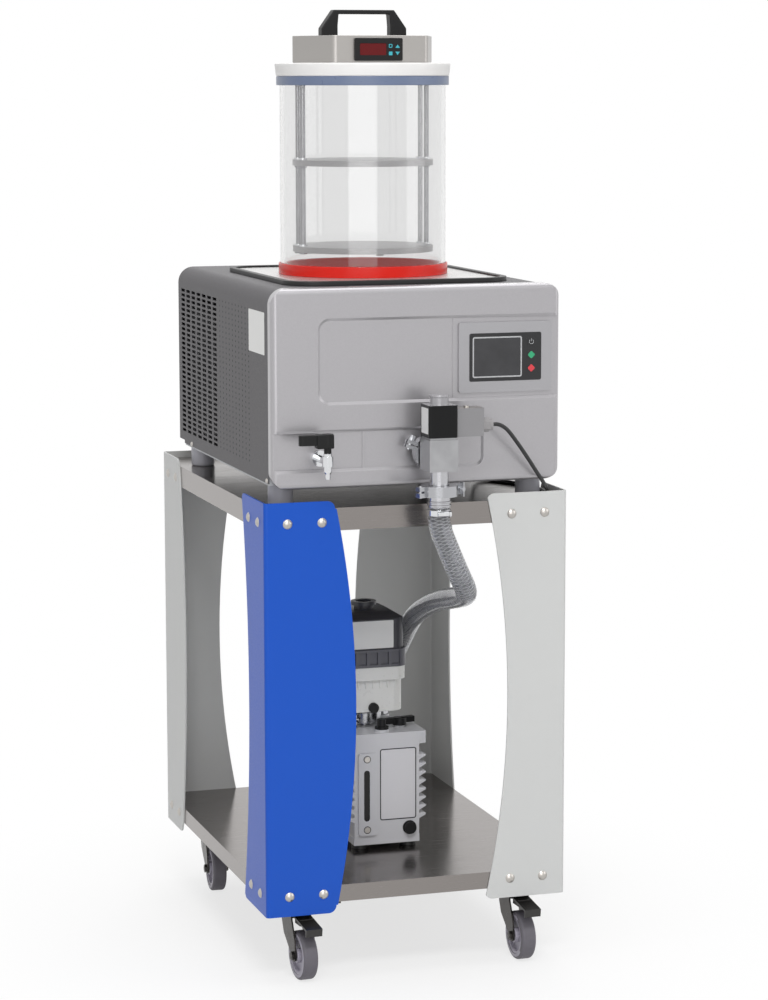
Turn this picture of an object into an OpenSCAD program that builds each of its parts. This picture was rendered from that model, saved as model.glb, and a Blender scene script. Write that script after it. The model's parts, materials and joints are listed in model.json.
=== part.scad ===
// Bench freeze dryer on a castor trolley, with its rotary vane vacuum pump on the lower shelf.
// Millimetres, +Z up. The floor is z = 0 and the front faces -Y.

/* [Trolley] */
// Width over the corner posts
trolley_w = 476; // [450:2:560]
// Depth over the corner posts
trolley_d = 646; // [630:2:760]
// Place of the trolley's middle behind the origin
trolley_y = 38; // [0:1:60]
// Height of the post tops above the floor
post_top = 735; // [732:1:745]
// Height of the post feet above the floor
post_foot = 107; // [104:1:115]
// Thickness of the post sheet
post_t = 2.5; // [2:0.5:4]
// Outer radius of the fold along a post
post_bend = 6; // [5:1:8]
// Width of a post's bulging flange at its ends
bulge_end = 109; // [104:1:116]
// Width of a post's bulging flange at mid height
bulge_mid = 141; // [125:1:150]
// Width of a post's waisted flange at its ends
waist_end = 129; // [120:1:134]
// Width of a post's waisted flange at mid height
waist_mid = 94; // [80:1:110]
// Radius of the free corners of a post
post_corner = 12; // [8:1:15]
// Height of the upper shelf's surface
upper_z = 724; // [718:1:728]
// Depth of the upper shelf's rim
upper_rim = 34; // [30:1:40]
// Height of the lower shelf's surface
lower_z = 149; // [144:1:160]
// Depth of the lower shelf's rim
lower_rim = 26; // [20:1:30]
// Thickness of the shelf sheet
shelf_t = 2; // [1.5:0.5:3]
// Width of the flange turned in under a shelf's rim
return_w = 16; // [12:1:20]
// Diameter of a post bolt's domed head
bolt_head = 15; // [11:1:16]
// Diameter of a post bolt's shank
bolt_shank = 7; // [5:1:8]
// Distance from the fold of a post to its first bolt
bolt_edge = 36; // [30:1:40]
// Distance between the two bolts of a flange
bolt_pitch = 53; // [45:1:55]
// Drop from the upper shelf's surface to its bolts
bolt_drop_upper = 21; // [16:1:24]
// Drop from the lower shelf's surface to its bolts
bolt_drop_lower = 12; // [9:1:15]

/* [Castors] */
// Diameter of a castor wheel
wheel_d = 75; // [65:1:80]
// Width of a castor wheel
wheel_w = 23; // [20:1:26]
// Distance of the swivel axes from the trolley's outer faces
castor_inset = 62; // [60:1:70]
// Distance of the wheel axle from the swivel axis
trail = 34; // [30:1:38]
// Thickness of the fork's pressed sheet
fork_t = 2.5; // [2:0.5:3]
// Gap between a wheel and each fork leg
wheel_gap = 2.5; // [2:0.5:4]
// Diameter of the wheel's axle bolt
axle_d = 8; // [6:1:10]
// Diameter of the swivel's kingpin
kingpin_d = 12; // [10:1:14]
// Thickness of a castor's fixing plate
plate_t = 4; // [3:1:5]
// Side of a castor's fixing plate
plate_w = 112; // [106:2:114]
// Height of the swivel's ball race
race_h = 11; // [8:1:14]
// Diameter of the swivel's ball race
race_d = 50; // [44:1:56]
// Radial running clearance of the castor's pins
pin_gap = 0.06; // [0.04:0.01:0.08]

/* [Main unit] */
// Width of the unit
unit_w = 450; // [440:2:466]
// Depth of the unit over its front panel
unit_d = 576; // [560:2:600]
// Height from the underside of the base to the top of the front panel
unit_h = 292; // [280:1:310]
// Set-back of the front panel's face from the front of the trolley
unit_setback = 1; // [-4:1:8]
// Height of the unit's feet
foot_h = 34; // [30:1:40]
// Diameter of the unit's feet
foot_d = 38; // [30:1:44]
// Distance of the foot axes in from the unit's sides
foot_inset = 29; // [24:1:34]
// Thickness of the cover sheet
cover_t = 1.5; // [1:0.5:2]
// Radius of the cover's top edges
cover_r = 25; // [20:1:30]
// Height of the cover's lower edges above the base's underside
cover_lift = 3; // [2:1:6]
// Depth of the moulded front panel
panel_d = 20; // [18:1:26]
// Wall of the moulded front panel
panel_wall = 4; // [3:0.5:5]
// Radius of the front panel's face edge
panel_edge = 9; // [6:1:12]
// Distance that the front panel hangs below the base
panel_drop = 5; // [3:1:7]
// Depth of the recesses in the front panel
recess_t = 3; // [2:0.5:3]
// Height of the wide recess
recess_h = 120; // [110:1:125]
// Drop from the panel's top to the wide recess
recess_drop = 49; // [45:1:55]
// Distance from the unit's left side to the wide recess
recess_left = 75; // [65:1:90]
// Width of the logo field, up to the groove
field_w = 204; // [190:1:210]
// Height of the lower recess
low_recess_h = 55; // [50:1:60]
// Length of the lower recess from the unit's left side
low_recess_w = 325; // [305:1:335]
// Height of the lower recess above the panel's lower edge
low_recess_lift = 29; // [26:1:34]

/* [Vents] */
// Number of slot columns
slot_cols = 7; // [5:1:7]
// Number of slot rows
slot_rows = 30; // [20:1:31]
// Length of a vent slot
slot_l = 25; // [18:1:28]
// Height of a vent slot
slot_h = 4.7; // [3:0.1:5]
// Pitch of the slot columns
slot_pitch = 34.7; // [31:0.1:36]
// Pitch of the slot rows
row_pitch = 7.9; // [7:0.1:8.2]
// Distance of the first slot column from the rear edge
slot_rear = 32; // [28:1:40]
// Drop from the cover's top to the first row
slot_drop = 36; // [34:1:42]

/* [Control panel] */
// Width of the control panel's frame
frame_w = 147; // [140:1:150]
// Height of the control panel's frame
frame_h = 105; // [100:1:108]
// Thickness of the control panel's frame
frame_t = 4; // [3:0.5:6]
// Width of the membrane panel
membrane_w = 114; // [108:1:120]
// Height of the membrane panel
membrane_h = 72; // [68:1:78]
// Width of the screen
screen_w = 74; // [66:1:76]
// Height of the screen
screen_h = 57; // [50:1:60]

/* [Top plate and condenser] */
// Width of the top plate over its rubber edge
plate_top_w = 354; // [340:2:380]
// Depth of the top plate over its rubber edge
plate_top_d = 404; // [380:2:420]
// Corner radius of the top plate over its rubber edge
plate_top_r = 50; // [40:1:60]
// Width of the rubber edge
edge_w = 10; // [9:1:12]
// Height of the rubber edge
edge_h = 7; // [6:0.5:9]
// Thickness of the top plate
plate_top_t = 2; // [1.5:0.5:3]
// Distance of the plate's middle from the front panel's face
plate_top_y = 266; // [250:1:280]
// Distance of the chamber's axis from the front panel's face
chamber_setback = 276; // [265:1:285]
// Depth of the finned condenser behind the side vents
hx_d = 208; // [180:2:220]
// Height of the finned condenser
hx_h = 226; // [200:2:240]
// Diameter of the compressor's shell
comp_d = 138; // [120:1:146]
// Diameter of the condenser's fan
fan_d = 168; // [150:2:176]
// Outer diameter of the condenser well
well_d = 206; // [190:2:216]
// Depth of the condenser well
well_h = 232; // [200:2:240]
// Wall of the condenser well
well_t = 2; // [1.5:0.5:3]
// Tube diameter of the evaporator coil
coil_tube = 9; // [8:1:11]
// Number of turns of the evaporator coil
coil_turns = 9; // [6:1:10]
// Rise of the evaporator coil per turn
coil_rise = 18; // [16:1:20]

/* [Drying chamber] */
// Outer diameter of the clear cylinder
cyl_d = 258; // [240:2:270]
// Wall of the clear cylinder
cyl_t = 6; // [5:0.5:8]
// Length of the clear cylinder
cyl_h = 295; // [260:1:320]
// Height of the base seal
base_seal_h = 17; // [14:1:22]
// Height of the lid seal
lid_seal_h = 14; // [12:1:18]
// Thickness of a seal under or over the cylinder's edge
seal_floor = 5; // [4:1:6]
// Lip of the seals outside the cylinder
seal_lip = 3; // [2:0.5:5]
// Lip of the seals inside the cylinder
seal_inner = 4; // [3:0.5:6]
// Clearance between the cylinder and the seals' groove
seal_gap = 0.2; // [0.1:0.1:0.5]
// Thickness of the lid
lid_h = 20; // [16:1:24]
// Overhang of the lid beyond the cylinder
lid_over = 7.5; // [6:0.5:10]
// Taper of the lid's edge
lid_taper = 2; // [0:0.5:3]
// Diameter of a rack disc
disc_d = 219; // [200:1:224]
// Thickness of a rack disc
disc_t = 9; // [6:1:12]
// Diameter of a rack rod
rod_d = 8; // [6:1:9]
// Radius of the circle of the rack rods
rod_circle = 101; // [90:1:101]
// Angle of a rack rod from the lid's side-to-side line
rod_angle = 8; // [5:0.5:14]
// Height of the lower disc's surface above the top plate
disc_low = 44; // [30:1:60]
// Height of the upper disc's surface above the lower disc's
disc_gap = 133; // [110:1:150]

/* [Lid fittings] */
// Height of the lid's instrument housing
housing_h = 41; // [40:1:50]
// Half width of the housing across its side corners
housing_side = 113; // [100:1:118]
// Half width of the housing's front and rear faces
housing_front = 75; // [60:1:80]
// Half depth of the housing
housing_half_d = 95; // [80:1:96]
// Wall of the housing
housing_t = 2; // [1:0.5:3]
// Width of the controller's bezel
bezel_w = 76; // [72:1:80]
// Height of the controller's bezel
bezel_h = 34; // [32:1:36]
// Length of the lid handle
handle_l = 137; // [120:1:144]
// Height of the lid handle
handle_h = 40; // [34:1:48]
// Width of the lid handle's grip
handle_w = 20; // [16:1:26]
// Length of each handle foot
handle_foot = 26; // [22:1:28]
// Thickness of the handle's bar
handle_bar = 6.5; // [5:0.5:9]

/* [Drain tap] */
// Distance of the tap from the unit's left side
tap_in = 73; // [65:1:85]
// Height of the tap's axis above the upper shelf
tap_lift = 75; // [72:1:78]
// Distance from the panel to the tap's spout
tap_spout_y = 42; // [38:1:48]
// Outer diameter of the spout
spout_d = 12.5; // [11:0.5:14]
// Outer diameter of the hose nozzle on the spout
nozzle_d = 8; // [6:0.5:9]
// Length of the hose nozzle on the spout
nozzle_l = 11; // [9:1:16]
// Length of the lever from its stem
lever_l = 39; // [32:1:46]

/* [Vacuum line] */
// Distance of the valve from the unit's middle
valve_x = 15; // [8:1:22]
// Height of the valve's inlet axis above the upper shelf
valve_lift = 81; // [79:1:84]
// Width of the valve block
block_w = 44; // [40:1:46]
// Depth of the valve block
block_d = 46; // [42:1:48]
// Height of the valve block
block_h = 47; // [44:1:50]
// Distance from the panel to the valve block
block_gap = 32; // [30:1:36]
// Height of the solenoid coil
coil_h = 48; // [44:1:52]
// Width and depth of the solenoid coil
coil_w = 44; // [40:1:46]
// Diameter of the nut on the coil
coil_nut_d = 30; // [26:1:32]
// Length of the cable plug
plug_l = 43; // [38:1:46]
// Outer diameter of the clamped flanges
flange_d = 40; // [38:1:42]
// Outer diameter of a flange clamp
clamp_d = 56; // [54:1:60]
// Width of a flange clamp
clamp_w = 16; // [14:1:18]
// Diameter of the stub pipes
stub_d = 28; // [24:1:30]
// Outer diameter of the vacuum hose
hose_d = 33; // [30:1:34]
// Diameter of the solenoid cable
cable_d = 6; // [5:0.5:7]

/* [Vacuum pump] */
// Distance of the pump's middle from the trolley's middle
pump_x = 8.5; // [0:0.5:14]
// Place of the pump's front face, from the origin
pump_front = -102; // [-110:1:-98]
// Width of the oil box between its fins
box_w = 107; // [100:1:112]
// Depth of the oil box
box_d = 120; // [110:1:130]
// Height of the pump's body above its base casting
box_h = 166; // [160:1:175]
// Width of the sight glass's frame
window_w = 30; // [28:1:34]
// Height of the sight glass's frame
window_h = 132; // [120:1:140]
// Diameter of the oil plugs
plug_d = 22; // [18:1:24]
// Length of the cooling fins
fin_l = 11; // [8:1:12]
// Number of cooling fins on each side
fin_count = 8; // [6:1:8]
// Pitch of the cooling fins
fin_pitch = 13.6; // [12:0.1:14]
// Height of the pump's base casting
base_h = 12; // [10:1:16]
// Height of the pump's rubber feet
rubber_h = 8; // [6:1:12]
// Depth of the pump's stator housing
stator_d = 110; // [100:1:120]
// Diameter of the motor
motor_d = 124; // [110:1:130]
// Length of the motor
motor_l = 150; // [130:1:165]

/* [Mist filter] */
// Place of the filter's axis, across
filter_x = -5; // [-10:1:0]
// Place of the filter's axis behind the pump's front
filter_back = 80; // [78:1:86]
// Half width of the filter's cap
cap_half = 53.5; // [48:0.5:56]
// Corner radius of the filter
filter_r = 18; // [14:1:24]
// Height of the filter's clear bowl
bowl_h = 72; // [65:1:80]
// Height of the filter's clamp ring
ring_h = 28; // [24:1:32]
// Height of the filter's cap below its shoulder
cap_h = 48; // [40:1:52]
// Height of the cap's sloped shoulder
shoulder_h = 10; // [8:1:14]
// Height of the outlet spigot above the cap
spigot_h = 12; // [9:1:16]

/* [Hidden] */
$fn = 64;
eps = 0.01;

// Trolley
post_h = post_top - post_foot;
shelf_w = trolley_w - 2 * post_t;
shelf_d = trolley_d - 2 * post_t;
bolt_hole = bolt_shank + 0.4;
bolt_us = [bolt_edge, bolt_edge + bolt_pitch];
bolt_zs = [upper_z - bolt_drop_upper, lower_z - bolt_drop_lower];
// The trolley's corners, each with the turn of its post
corners = [[-1, -1, 0], [1, -1, 90], [1, 1, 180], [-1, 1, 270]];
// Castors: front left, front right, rear left, rear right, with the way that each trails from the front
castor_sides = [[-1, -1, 4], [1, -1, 2], [-1, 1, -3], [1, 1, 6]];
castor_plate_z = lower_z - lower_rim - plate_t;
crown_top = castor_plate_z - race_h - 1;
crown_t = 3.5;
fork_gap = wheel_w + 2 * wheel_gap;
fork_w = fork_gap + 2 * fork_t;
pedal_y = -14;
pedal_z = crown_top - 12;
pedal_pin = 5;
// Main unit
front_y = trolley_y - trolley_d / 2 + unit_setback;
rear_y = front_y + unit_d;
unit_z = upper_z + foot_h;
panel_top = unit_z + unit_h;
panel_low = unit_z - panel_drop;
panel_h = panel_top - panel_low;
seam_y = front_y + panel_d;
tap_x = tap_in - unit_w / 2;
cover_top = panel_top - 2;
cover_low = unit_z + cover_lift;
foot_front = front_y + 60;
foot_rear = rear_y - 39;
base_t = 2;
base_lip = 22;
// Recess edges in the front panel
recess_top = panel_top - recess_drop;
recess_low = recess_top - recess_h;
recess_x = -unit_w / 2 + recess_left;
low_recess_x = -unit_w / 2;
low_recess_z = panel_low + low_recess_lift;
face_back = front_y + recess_t;
frame_x = recess_x + field_w + 10 + frame_w / 2;
frame_z = (recess_top + recess_low) / 2;
// Top plate and chamber
plate_mid_y = front_y + plate_top_y;
chamber_y = front_y + chamber_setback;
edge_top = cover_top + edge_h;
plate_z = cover_top + 2;
plate_face = plate_z + plate_top_t;
plate_seat = 5;
cyl_low = plate_face + seal_floor;
cyl_top = cyl_low + cyl_h;
lid_low = cyl_top + seal_floor;
lid_top = lid_low + lid_h;
disc_low_z = plate_face + disc_low;
disc_mid_z = disc_low_z + disc_gap;
// Tap and vacuum line
tap_z = upper_z + tap_lift;
spout_y = front_y - tap_spout_y;
valve_z = upper_z + valve_lift;
block_y = front_y - block_gap - block_d / 2;
block_low = valve_z - block_h / 2;
coil_low = block_low + block_h + 3;
flange_t = 6;
port_joint = front_y - 20;
outlet_joint = block_low - 30;
hose_start = outlet_joint - 25;
plug_x = valve_x + coil_w / 2;
plug_z = coil_low + coil_h / 2 - 2;
gland_z = coil_low + 15;
gland_l = 17;
cable_start = plug_x + plug_l + gland_l;
// Pump
pump_z = lower_z + rubber_h;
body_z = pump_z + base_h;
body_top = body_z + box_h;
lid_strip = 20;
stator_y = pump_front + box_d;
motor_y = stator_y + stator_d;
motor_z = body_z + motor_d / 2 + 8;
inlet_x = 50;
inlet_y = 70;
inlet_joint = body_top + 16;
hose_end = inlet_joint + 21;
// Mist filter
filter_y = pump_front + filter_back;
outlet_seat = body_top + 14;
bowl_z = outlet_seat + 15;
ring_z = bowl_z + bowl_h;
cap_z = ring_z + ring_h;
shoulder_z = cap_z + cap_h;
spigot_z = shoulder_z + shoulder_h;

// Routes of the vacuum hose and the solenoid cable
HOSE = [[valve_x, block_y, hose_start], [15, -339, 708], [19, -340, 689], [26, -342, 670], [34, -343, 650],
    [43, -342, 630], [53, -336, 612], [62, -324, 598], [69, -304, 587], [72, -272, 578], [72, -232, 569],
    [72, -182, 558], [72, -122, 540], [72, -62, 516], [73, -12, 487], [72, 24, 455], [67, 45, 429],
    [60, 57, 409], [54, 65, 394], [51, 69, 383], [inlet_x, inlet_y, hose_end + 4],
    [inlet_x, inlet_y, hose_end]];
CABLE = [[cable_start, block_y, gland_z], [108, block_y, gland_z], [122, -336, 838], [140, -329, 818],
    [160, -318, 794], [180, -306, 769], [197, -293, 749], [208, -276, 738], [217, -255, 730],
    [222, -230, 727], [222, -195, 727], [216, -155, 727], [202, -115, 727], [186, -80, 727],
    [176, -54, 731], [172, -40, 740], [172, -40, unit_z - 8]];

// Rounded rectangle centred on the origin
module round_rect(w, h, r) {
    square([w - 2 * r, h], center = true);
    square([w, h - 2 * r], center = true);
    for (x = [-1, 1], y = [-1, 1]) translate([x * (w / 2 - r), y * (h / 2 - r)]) circle(r);
}

// Rounded rectangle on the face that looks to -Y, thick towards +Y
module face_plate(w, h, r, t) {
    rotate([90, 0, 0]) translate([0, 0, -t]) linear_extrude(t) round_rect(w, h, r);
}

// Unit vector and dot and cross products of the sweeps
function unit(v) = v / norm(v);
function side_of(t) = abs(t[1]) > 0.9 ? unit(cross(t, [1, 0, 0])) : unit(cross(t, [0, 1, 0]));
function tangent(p, i) = i == 0 ? unit(p[1] - p[0])
    : i == len(p) - 1 ? unit(p[i] - p[i - 1]) : unit(unit(p[i + 1] - p[i]) + unit(p[i] - p[i - 1]));
// The ring's first direction is carried along the route, so the tube doesn't twist
function carried(p, i) = i == 0 ? side_of(tangent(p, 0))
    : let (t = tangent(p, i), a = carried(p, i - 1)) unit(a - (a * t) * t);
function ring(p, i, r, n) = let (t = tangent(p, i), a = carried(p, i), b = cross(t, a))
    [for (k = [0 : n - 1]) p[i] + r * (cos(360 * k / n) * a + sin(360 * k / n) * b)];

// Closed tube over a list of rings
module skin(rings) {
    n = len(rings[0]);
    last = (len(rings) - 1) * n;
    polyhedron(
        points = [for (g = rings) each g],
        faces = concat(
            [[for (k = [0 : n - 1]) k]],
            [for (i = [0 : len(rings) - 2], k = [0 : n - 1])
                let (a = i * n + k, b = i * n + (k + 1) % n) [a, a + n, b + n]],
            [for (i = [0 : len(rings) - 2], k = [0 : n - 1])
                let (a = i * n + k, b = i * n + (k + 1) % n) [a, b + n, b]],
            [[for (k = [n - 1 : -1 : 0]) last + k]]));
}

module tube_along(p, r, n) skin([for (i = [0 : len(p) - 1]) ring(p, i, r, n)]);

// Trolley ------------------------------------------------------------

// Radius of an edge that swings by s over the post's height
function edge_r(s) = (post_h * post_h / 4 + s * s) / (2 * s);

// Rounds off the free corners of a flange of width w
module corner_cuts(w) {
    for (m = [0, 1]) translate([0, m * post_h]) mirror([0, m])
        translate([w - post_corner, post_corner]) difference() {
            translate([0, -post_corner - 1]) square([post_corner + 40, post_corner + 1]);
            circle(post_corner);
        }
}

module bulge_outline() {
    r = edge_r(bulge_mid - bulge_end);
    difference() {
        intersection() {
            square([bulge_mid, post_h]);
            translate([bulge_mid - r, post_h / 2]) circle(r, $fn = 720);
        }
        corner_cuts(bulge_end);
    }
}

module waist_outline() {
    r = edge_r(waist_end - waist_mid);
    difference() {
        square([waist_end, post_h]);
        translate([waist_mid + r, post_h / 2]) circle(r, $fn = 720);
        corner_cuts(waist_end);
    }
}

// Folded corner of the sheet, along Z
module fold_profile(l) {
    difference() {
        union() {
            translate([post_bend, 0]) square([l, post_t]);
            translate([0, post_bend]) square([post_t, l]);
            intersection() {
                translate([post_bend, post_bend]) circle(post_bend);
                square(post_bend);
            }
        }
        translate([post_bend, post_bend]) circle(post_bend - post_t);
    }
}

// One post with its fold at the origin, its bulging flange along +X and its waisted one along +Y
module post() {
    difference() {
        union() {
            intersection() {
                linear_extrude(post_h) fold_profile(bulge_mid);
                translate([0, post_bend, 0]) rotate([90, 0, 0]) linear_extrude(post_bend) bulge_outline();
            }
            intersection() {
                linear_extrude(post_h) fold_profile(waist_end);
                rotate([90, 0, 90]) linear_extrude(post_bend) waist_outline();
            }
        }
        for (z = bolt_zs, u = bolt_us) translate([0, 0, z - post_foot]) {
            translate([u, post_bend, 0]) rotate([90, 0, 0]) cylinder(d = bolt_hole, h = 2 * post_bend);
            translate([-post_bend, u, 0]) rotate([0, 90, 0]) cylinder(d = bolt_hole, h = 2 * post_bend);
        }
    }
}

// Puts a post or its bolts at a corner of the trolley, turned by quarter turns
module at_corner(x, y, turn) {
    translate([x * trolley_w / 2, trolley_y + y * trolley_d / 2, 0]) rotate([0, 0, turn]) children();
}

module post_front_left() color("#2757bd") at_corner(-1, -1, 0) translate([0, 0, post_foot]) post();
module post_front_right() color("#d9dada") at_corner(1, -1, 90) translate([0, 0, post_foot]) post();
module post_rear_right() color("#d9dada") at_corner(1, 1, 180) translate([0, 0, post_foot]) post();
module post_rear_left() color("#d9dada") at_corner(-1, 1, 270) translate([0, 0, post_foot]) post();

// Domed bolt along -Z, with its head's underside at z = 0 and a nut behind the shelf's rim
module post_bolt() {
    dome_h = 3.6;
    dome_r = (bolt_head * bolt_head / 4 + dome_h * dome_h) / (2 * dome_h);
    intersection() {
        translate([0, 0, dome_h - dome_r]) sphere(dome_r);
        cylinder(d = bolt_head, h = dome_h + 1);
    }
    translate([0, 0, -post_t - shelf_t - 8]) cylinder(d = bolt_shank, h = post_t + shelf_t + 8 + eps);
    translate([0, 0, -post_t - shelf_t - 5]) cylinder(d = bolt_shank * 1.9, h = 5, $fn = 6);
}

module post_bolts() color("#b9b3ab")
    for (c = corners) at_corner(c[0], c[1], c[2])
        for (z = bolt_zs, u = bolt_us) {
            translate([u, 0, z]) rotate([90, 0, 0]) post_bolt();
            translate([0, u, z]) rotate([0, -90, 0]) post_bolt();
        }

// Folded tray with a rim all round and a flange turned in under it
module tray(top, rim, bolt_z) {
    difference() {
        translate([0, trolley_y, top - rim]) linear_extrude(rim) round_rect(shelf_w, shelf_d, post_bend - post_t + 1);
        translate([-shelf_w / 2 + shelf_t, trolley_y - shelf_d / 2 + shelf_t, top - rim + shelf_t])
            cube([shelf_w - 2 * shelf_t, shelf_d - 2 * shelf_t, rim - 2 * shelf_t]);
        translate([-shelf_w / 2 + return_w, trolley_y - shelf_d / 2 + return_w, top - rim - 1])
            cube([shelf_w - 2 * return_w, shelf_d - 2 * return_w, rim / 2]);
        for (c = corners) at_corner(c[0], c[1], c[2]) for (u = bolt_us) translate([0, 0, bolt_z]) {
            translate([u, post_t + shelf_t + 1, 0]) rotate([90, 0, 0]) cylinder(d = bolt_hole, h = shelf_t + 2);
            translate([post_t - 1, u, 0]) rotate([0, 90, 0]) cylinder(d = bolt_hole, h = shelf_t + 2);
        }
    }
}

module upper_shelf() color("#a9a8a4") tray(upper_z, upper_rim, bolt_zs[0]);
module lower_shelf() color("#a09f9b") tray(lower_z, lower_rim, bolt_zs[1]);

// Castors ------------------------------------------------------------

// Puts a castor's own frame, with its swivel axis at the origin, under a corner of the trolley
module at_castor(i) {
    c = castor_sides[i];
    translate([c[0] * (trolley_w / 2 - castor_inset), trolley_y + c[1] * (trolley_d / 2 - castor_inset), 0])
        rotate([0, 0, c[2]]) children();
}

module castor_plates() color("#8f9192")
    for (i = [0 : 3]) at_castor(i) {
        rotate([0, 0, -castor_sides[i][2]]) translate([-plate_w / 2, -plate_w / 2, castor_plate_z])
            cube([plate_w, plate_w, plate_t]);
        translate([0, 0, castor_plate_z - race_h]) cylinder(d = race_d, h = race_h + eps);
        translate([0, 0, crown_top - crown_t - 1]) cylinder(d = kingpin_d, h = race_h + crown_t + 2);
        translate([0, 0, crown_top - crown_t - 5]) cylinder(d = kingpin_d + 7, h = 4.2);
    }

// Side view of a fork leg, with Y across and Z up
module leg_outline() {
    polygon([[-22, crown_top], [20, crown_top], [21, crown_top - 14], [8, wheel_d / 2 + 26],
        [-trail + 9, wheel_d / 2], [-trail - 9, wheel_d / 2], [-trail - 6, wheel_d / 2 + 24],
        [-26, crown_top - 16]]);
    translate([-trail, wheel_d / 2]) circle(9);
}

module fork(braked) {
    difference() {
        union() {
            translate([0, 0, crown_top - crown_t]) cylinder(d = race_d, h = crown_t);
            translate([-fork_w / 2, -22, crown_top - crown_t]) cube([fork_w, 42, crown_t]);
            for (x = [-1, 1]) translate([x * (fork_w - fork_t) / 2 - fork_t / 2, 0, 0])
                rotate([90, 0, 90]) linear_extrude(fork_t) leg_outline();
        }
        translate([0, 0, crown_top - crown_t - 1])
            cylinder(r = kingpin_d / 2 + pin_gap, h = crown_t + 2);
    }
    translate([-fork_w / 2 - 4, -trail, wheel_d / 2]) rotate([0, 90, 0]) {
        cylinder(d = axle_d, h = fork_w + 8);
        translate([0, 0, 0.5]) cylinder(d = 14, h = 3.5, $fn = 6);
        translate([0, 0, fork_w + 4]) cylinder(d = 14, h = 3.5, $fn = 6);
    }
    if (braked) translate([-fork_w / 2, pedal_y, pedal_z]) rotate([0, 90, 0])
        cylinder(d = pedal_pin, h = fork_w);
}

module castor_fork_front_left() color("#6d6b66") at_castor(0) fork(true);
module castor_fork_front_right() color("#6d6b66") at_castor(1) fork(true);
module castor_fork_rear_left() color("#6d6b66") at_castor(2) fork(false);
module castor_fork_rear_right() color("#6d6b66") at_castor(3) fork(false);

tread_t = 8.5;
tread_r = 4;

module tread_profile() {
    translate([wheel_d / 2 - tread_t, -wheel_w / 2]) square([tread_t - tread_r, wheel_w]);
    translate([wheel_d / 2 - tread_t, -wheel_w / 2 + tread_r]) square([tread_t, wheel_w - 2 * tread_r]);
    for (y = [-1, 1]) translate([wheel_d / 2 - tread_r, y * (wheel_w / 2 - tread_r)]) circle(tread_r);
}

module hub_profile() {
    hub_r = wheel_d / 2 - tread_t;
    bore_r = axle_d / 2 + pin_gap;
    translate([bore_r, -wheel_w / 2 - 1]) square([11 - bore_r, wheel_w + 2]);
    translate([bore_r, -5]) square([hub_r - bore_r, 10]);
    translate([hub_r - 4, -wheel_w / 2 + 1]) square([4, wheel_w - 2]);
}

// Moulded wheel: a hub with a sunk web, and a soft tread on it
module wheel() {
    translate([0, -trail, wheel_d / 2]) rotate([0, 90, 0]) {
        rotate_extrude() hub_profile();
        rotate_extrude() tread_profile();
    }
}

module castor_wheel_front_left() color("#4a4847") at_castor(0) wheel();
module castor_wheel_front_right() color("#4a4847") at_castor(1) wheel();
module castor_wheel_rear_left() color("#4a4847") at_castor(2) wheel();
module castor_wheel_rear_right() color("#4a4847") at_castor(3) wheel();

// Foot pedal that presses a brake shoe on the wheel
module brake_pedal() {
    pedal_w = fork_gap - 2;
    reach = trail + 50;
    difference() {
        union() {
            translate([-pedal_w / 2, pedal_y, pedal_z]) rotate([0, 90, 0]) cylinder(d = 10, h = pedal_w);
            translate([-pedal_w / 2, pedal_y, pedal_z]) rotate([8, 0, 0])
                translate([0, -reach - pedal_y, 2]) cube([pedal_w, reach + pedal_y, 3]);
            translate([-pedal_w / 2, pedal_y, pedal_z]) rotate([8, 0, 0])
                translate([0, -reach - pedal_y, -7]) cube([pedal_w, 3, 12]);
            translate([-pedal_w / 2 + 2, pedal_y - 36, pedal_z - 8]) cube([pedal_w - 4, 22, 10]);
        }
        translate([-pedal_w, pedal_y, pedal_z]) rotate([0, 90, 0])
            cylinder(r = pedal_pin / 2 + pin_gap, h = 2 * pedal_w);
    }
}

module brake_pedal_front_left() color("#55544f") at_castor(0) brake_pedal();
module brake_pedal_front_right() color("#55544f") at_castor(1) brake_pedal();

// Main unit -----------------------------------------------------------

// Cross section of the folded cover, with its open side down
module cover_profile(inset) {
    w = unit_w - 2 * inset;
    top = cover_top - inset;
    r = cover_r - inset;
    translate([-w / 2, cover_low - 1]) square([w, top - r - cover_low + 1]);
    translate([-w / 2 + r, top - r - 1]) square([w - 2 * r, r + 1]);
    for (x = [-1, 1]) translate([x * (w / 2 - r), top - r]) circle(r);
}

module slot(l, h) {
    square([l - h, h], center = true);
    for (x = [-1, 1]) translate([x * (l - h) / 2, 0]) circle(d = h, $fn = 16);
}

rear_notch = 33;
notch_h = 8;
screw_z = cover_low + 3.5;

// Flat side of the cover, drawn with Y across and Z up
module cover_side() difference() {
    translate([seam_y, cover_low]) square([rear_y - seam_y, cover_top - cover_r - cover_low]);
    translate([rear_y - rear_notch, cover_low - 1]) square([rear_notch + 1, notch_h - cover_lift + 1]);
    for (i = [0 : slot_cols - 1], j = [0 : slot_rows - 1])
        translate([rear_y - slot_rear - i * slot_pitch, cover_top - slot_drop - j * row_pitch])
            slot(slot_l, slot_h);
}

module housing_cover() color("#605f60") {
    difference() {
        translate([0, rear_y, 0]) rotate([90, 0, 0]) linear_extrude(rear_y - seam_y) difference() {
            cover_profile(0);
            cover_profile(cover_t);
            translate([-unit_w, cover_low - 2]) square([2 * unit_w, cover_top - cover_r - cover_low + 2]);
        }
        translate([0, chamber_y, cover_top - 20]) cylinder(d = well_d + 2, h = 40);
    }
    for (x = [-unit_w / 2, unit_w / 2 - cover_t]) translate([x, 0, 0])
        rotate([90, 0, 90]) linear_extrude(cover_t) cover_side();
    for (x = [-1, 1], y = [seam_y + 9, rear_y - 82]) translate([x * unit_w / 2, y, screw_z])
        rotate([0, x * 90, 0]) cylinder(d1 = 6.5, d2 = 4.5, h = 1.6);
}

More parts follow.
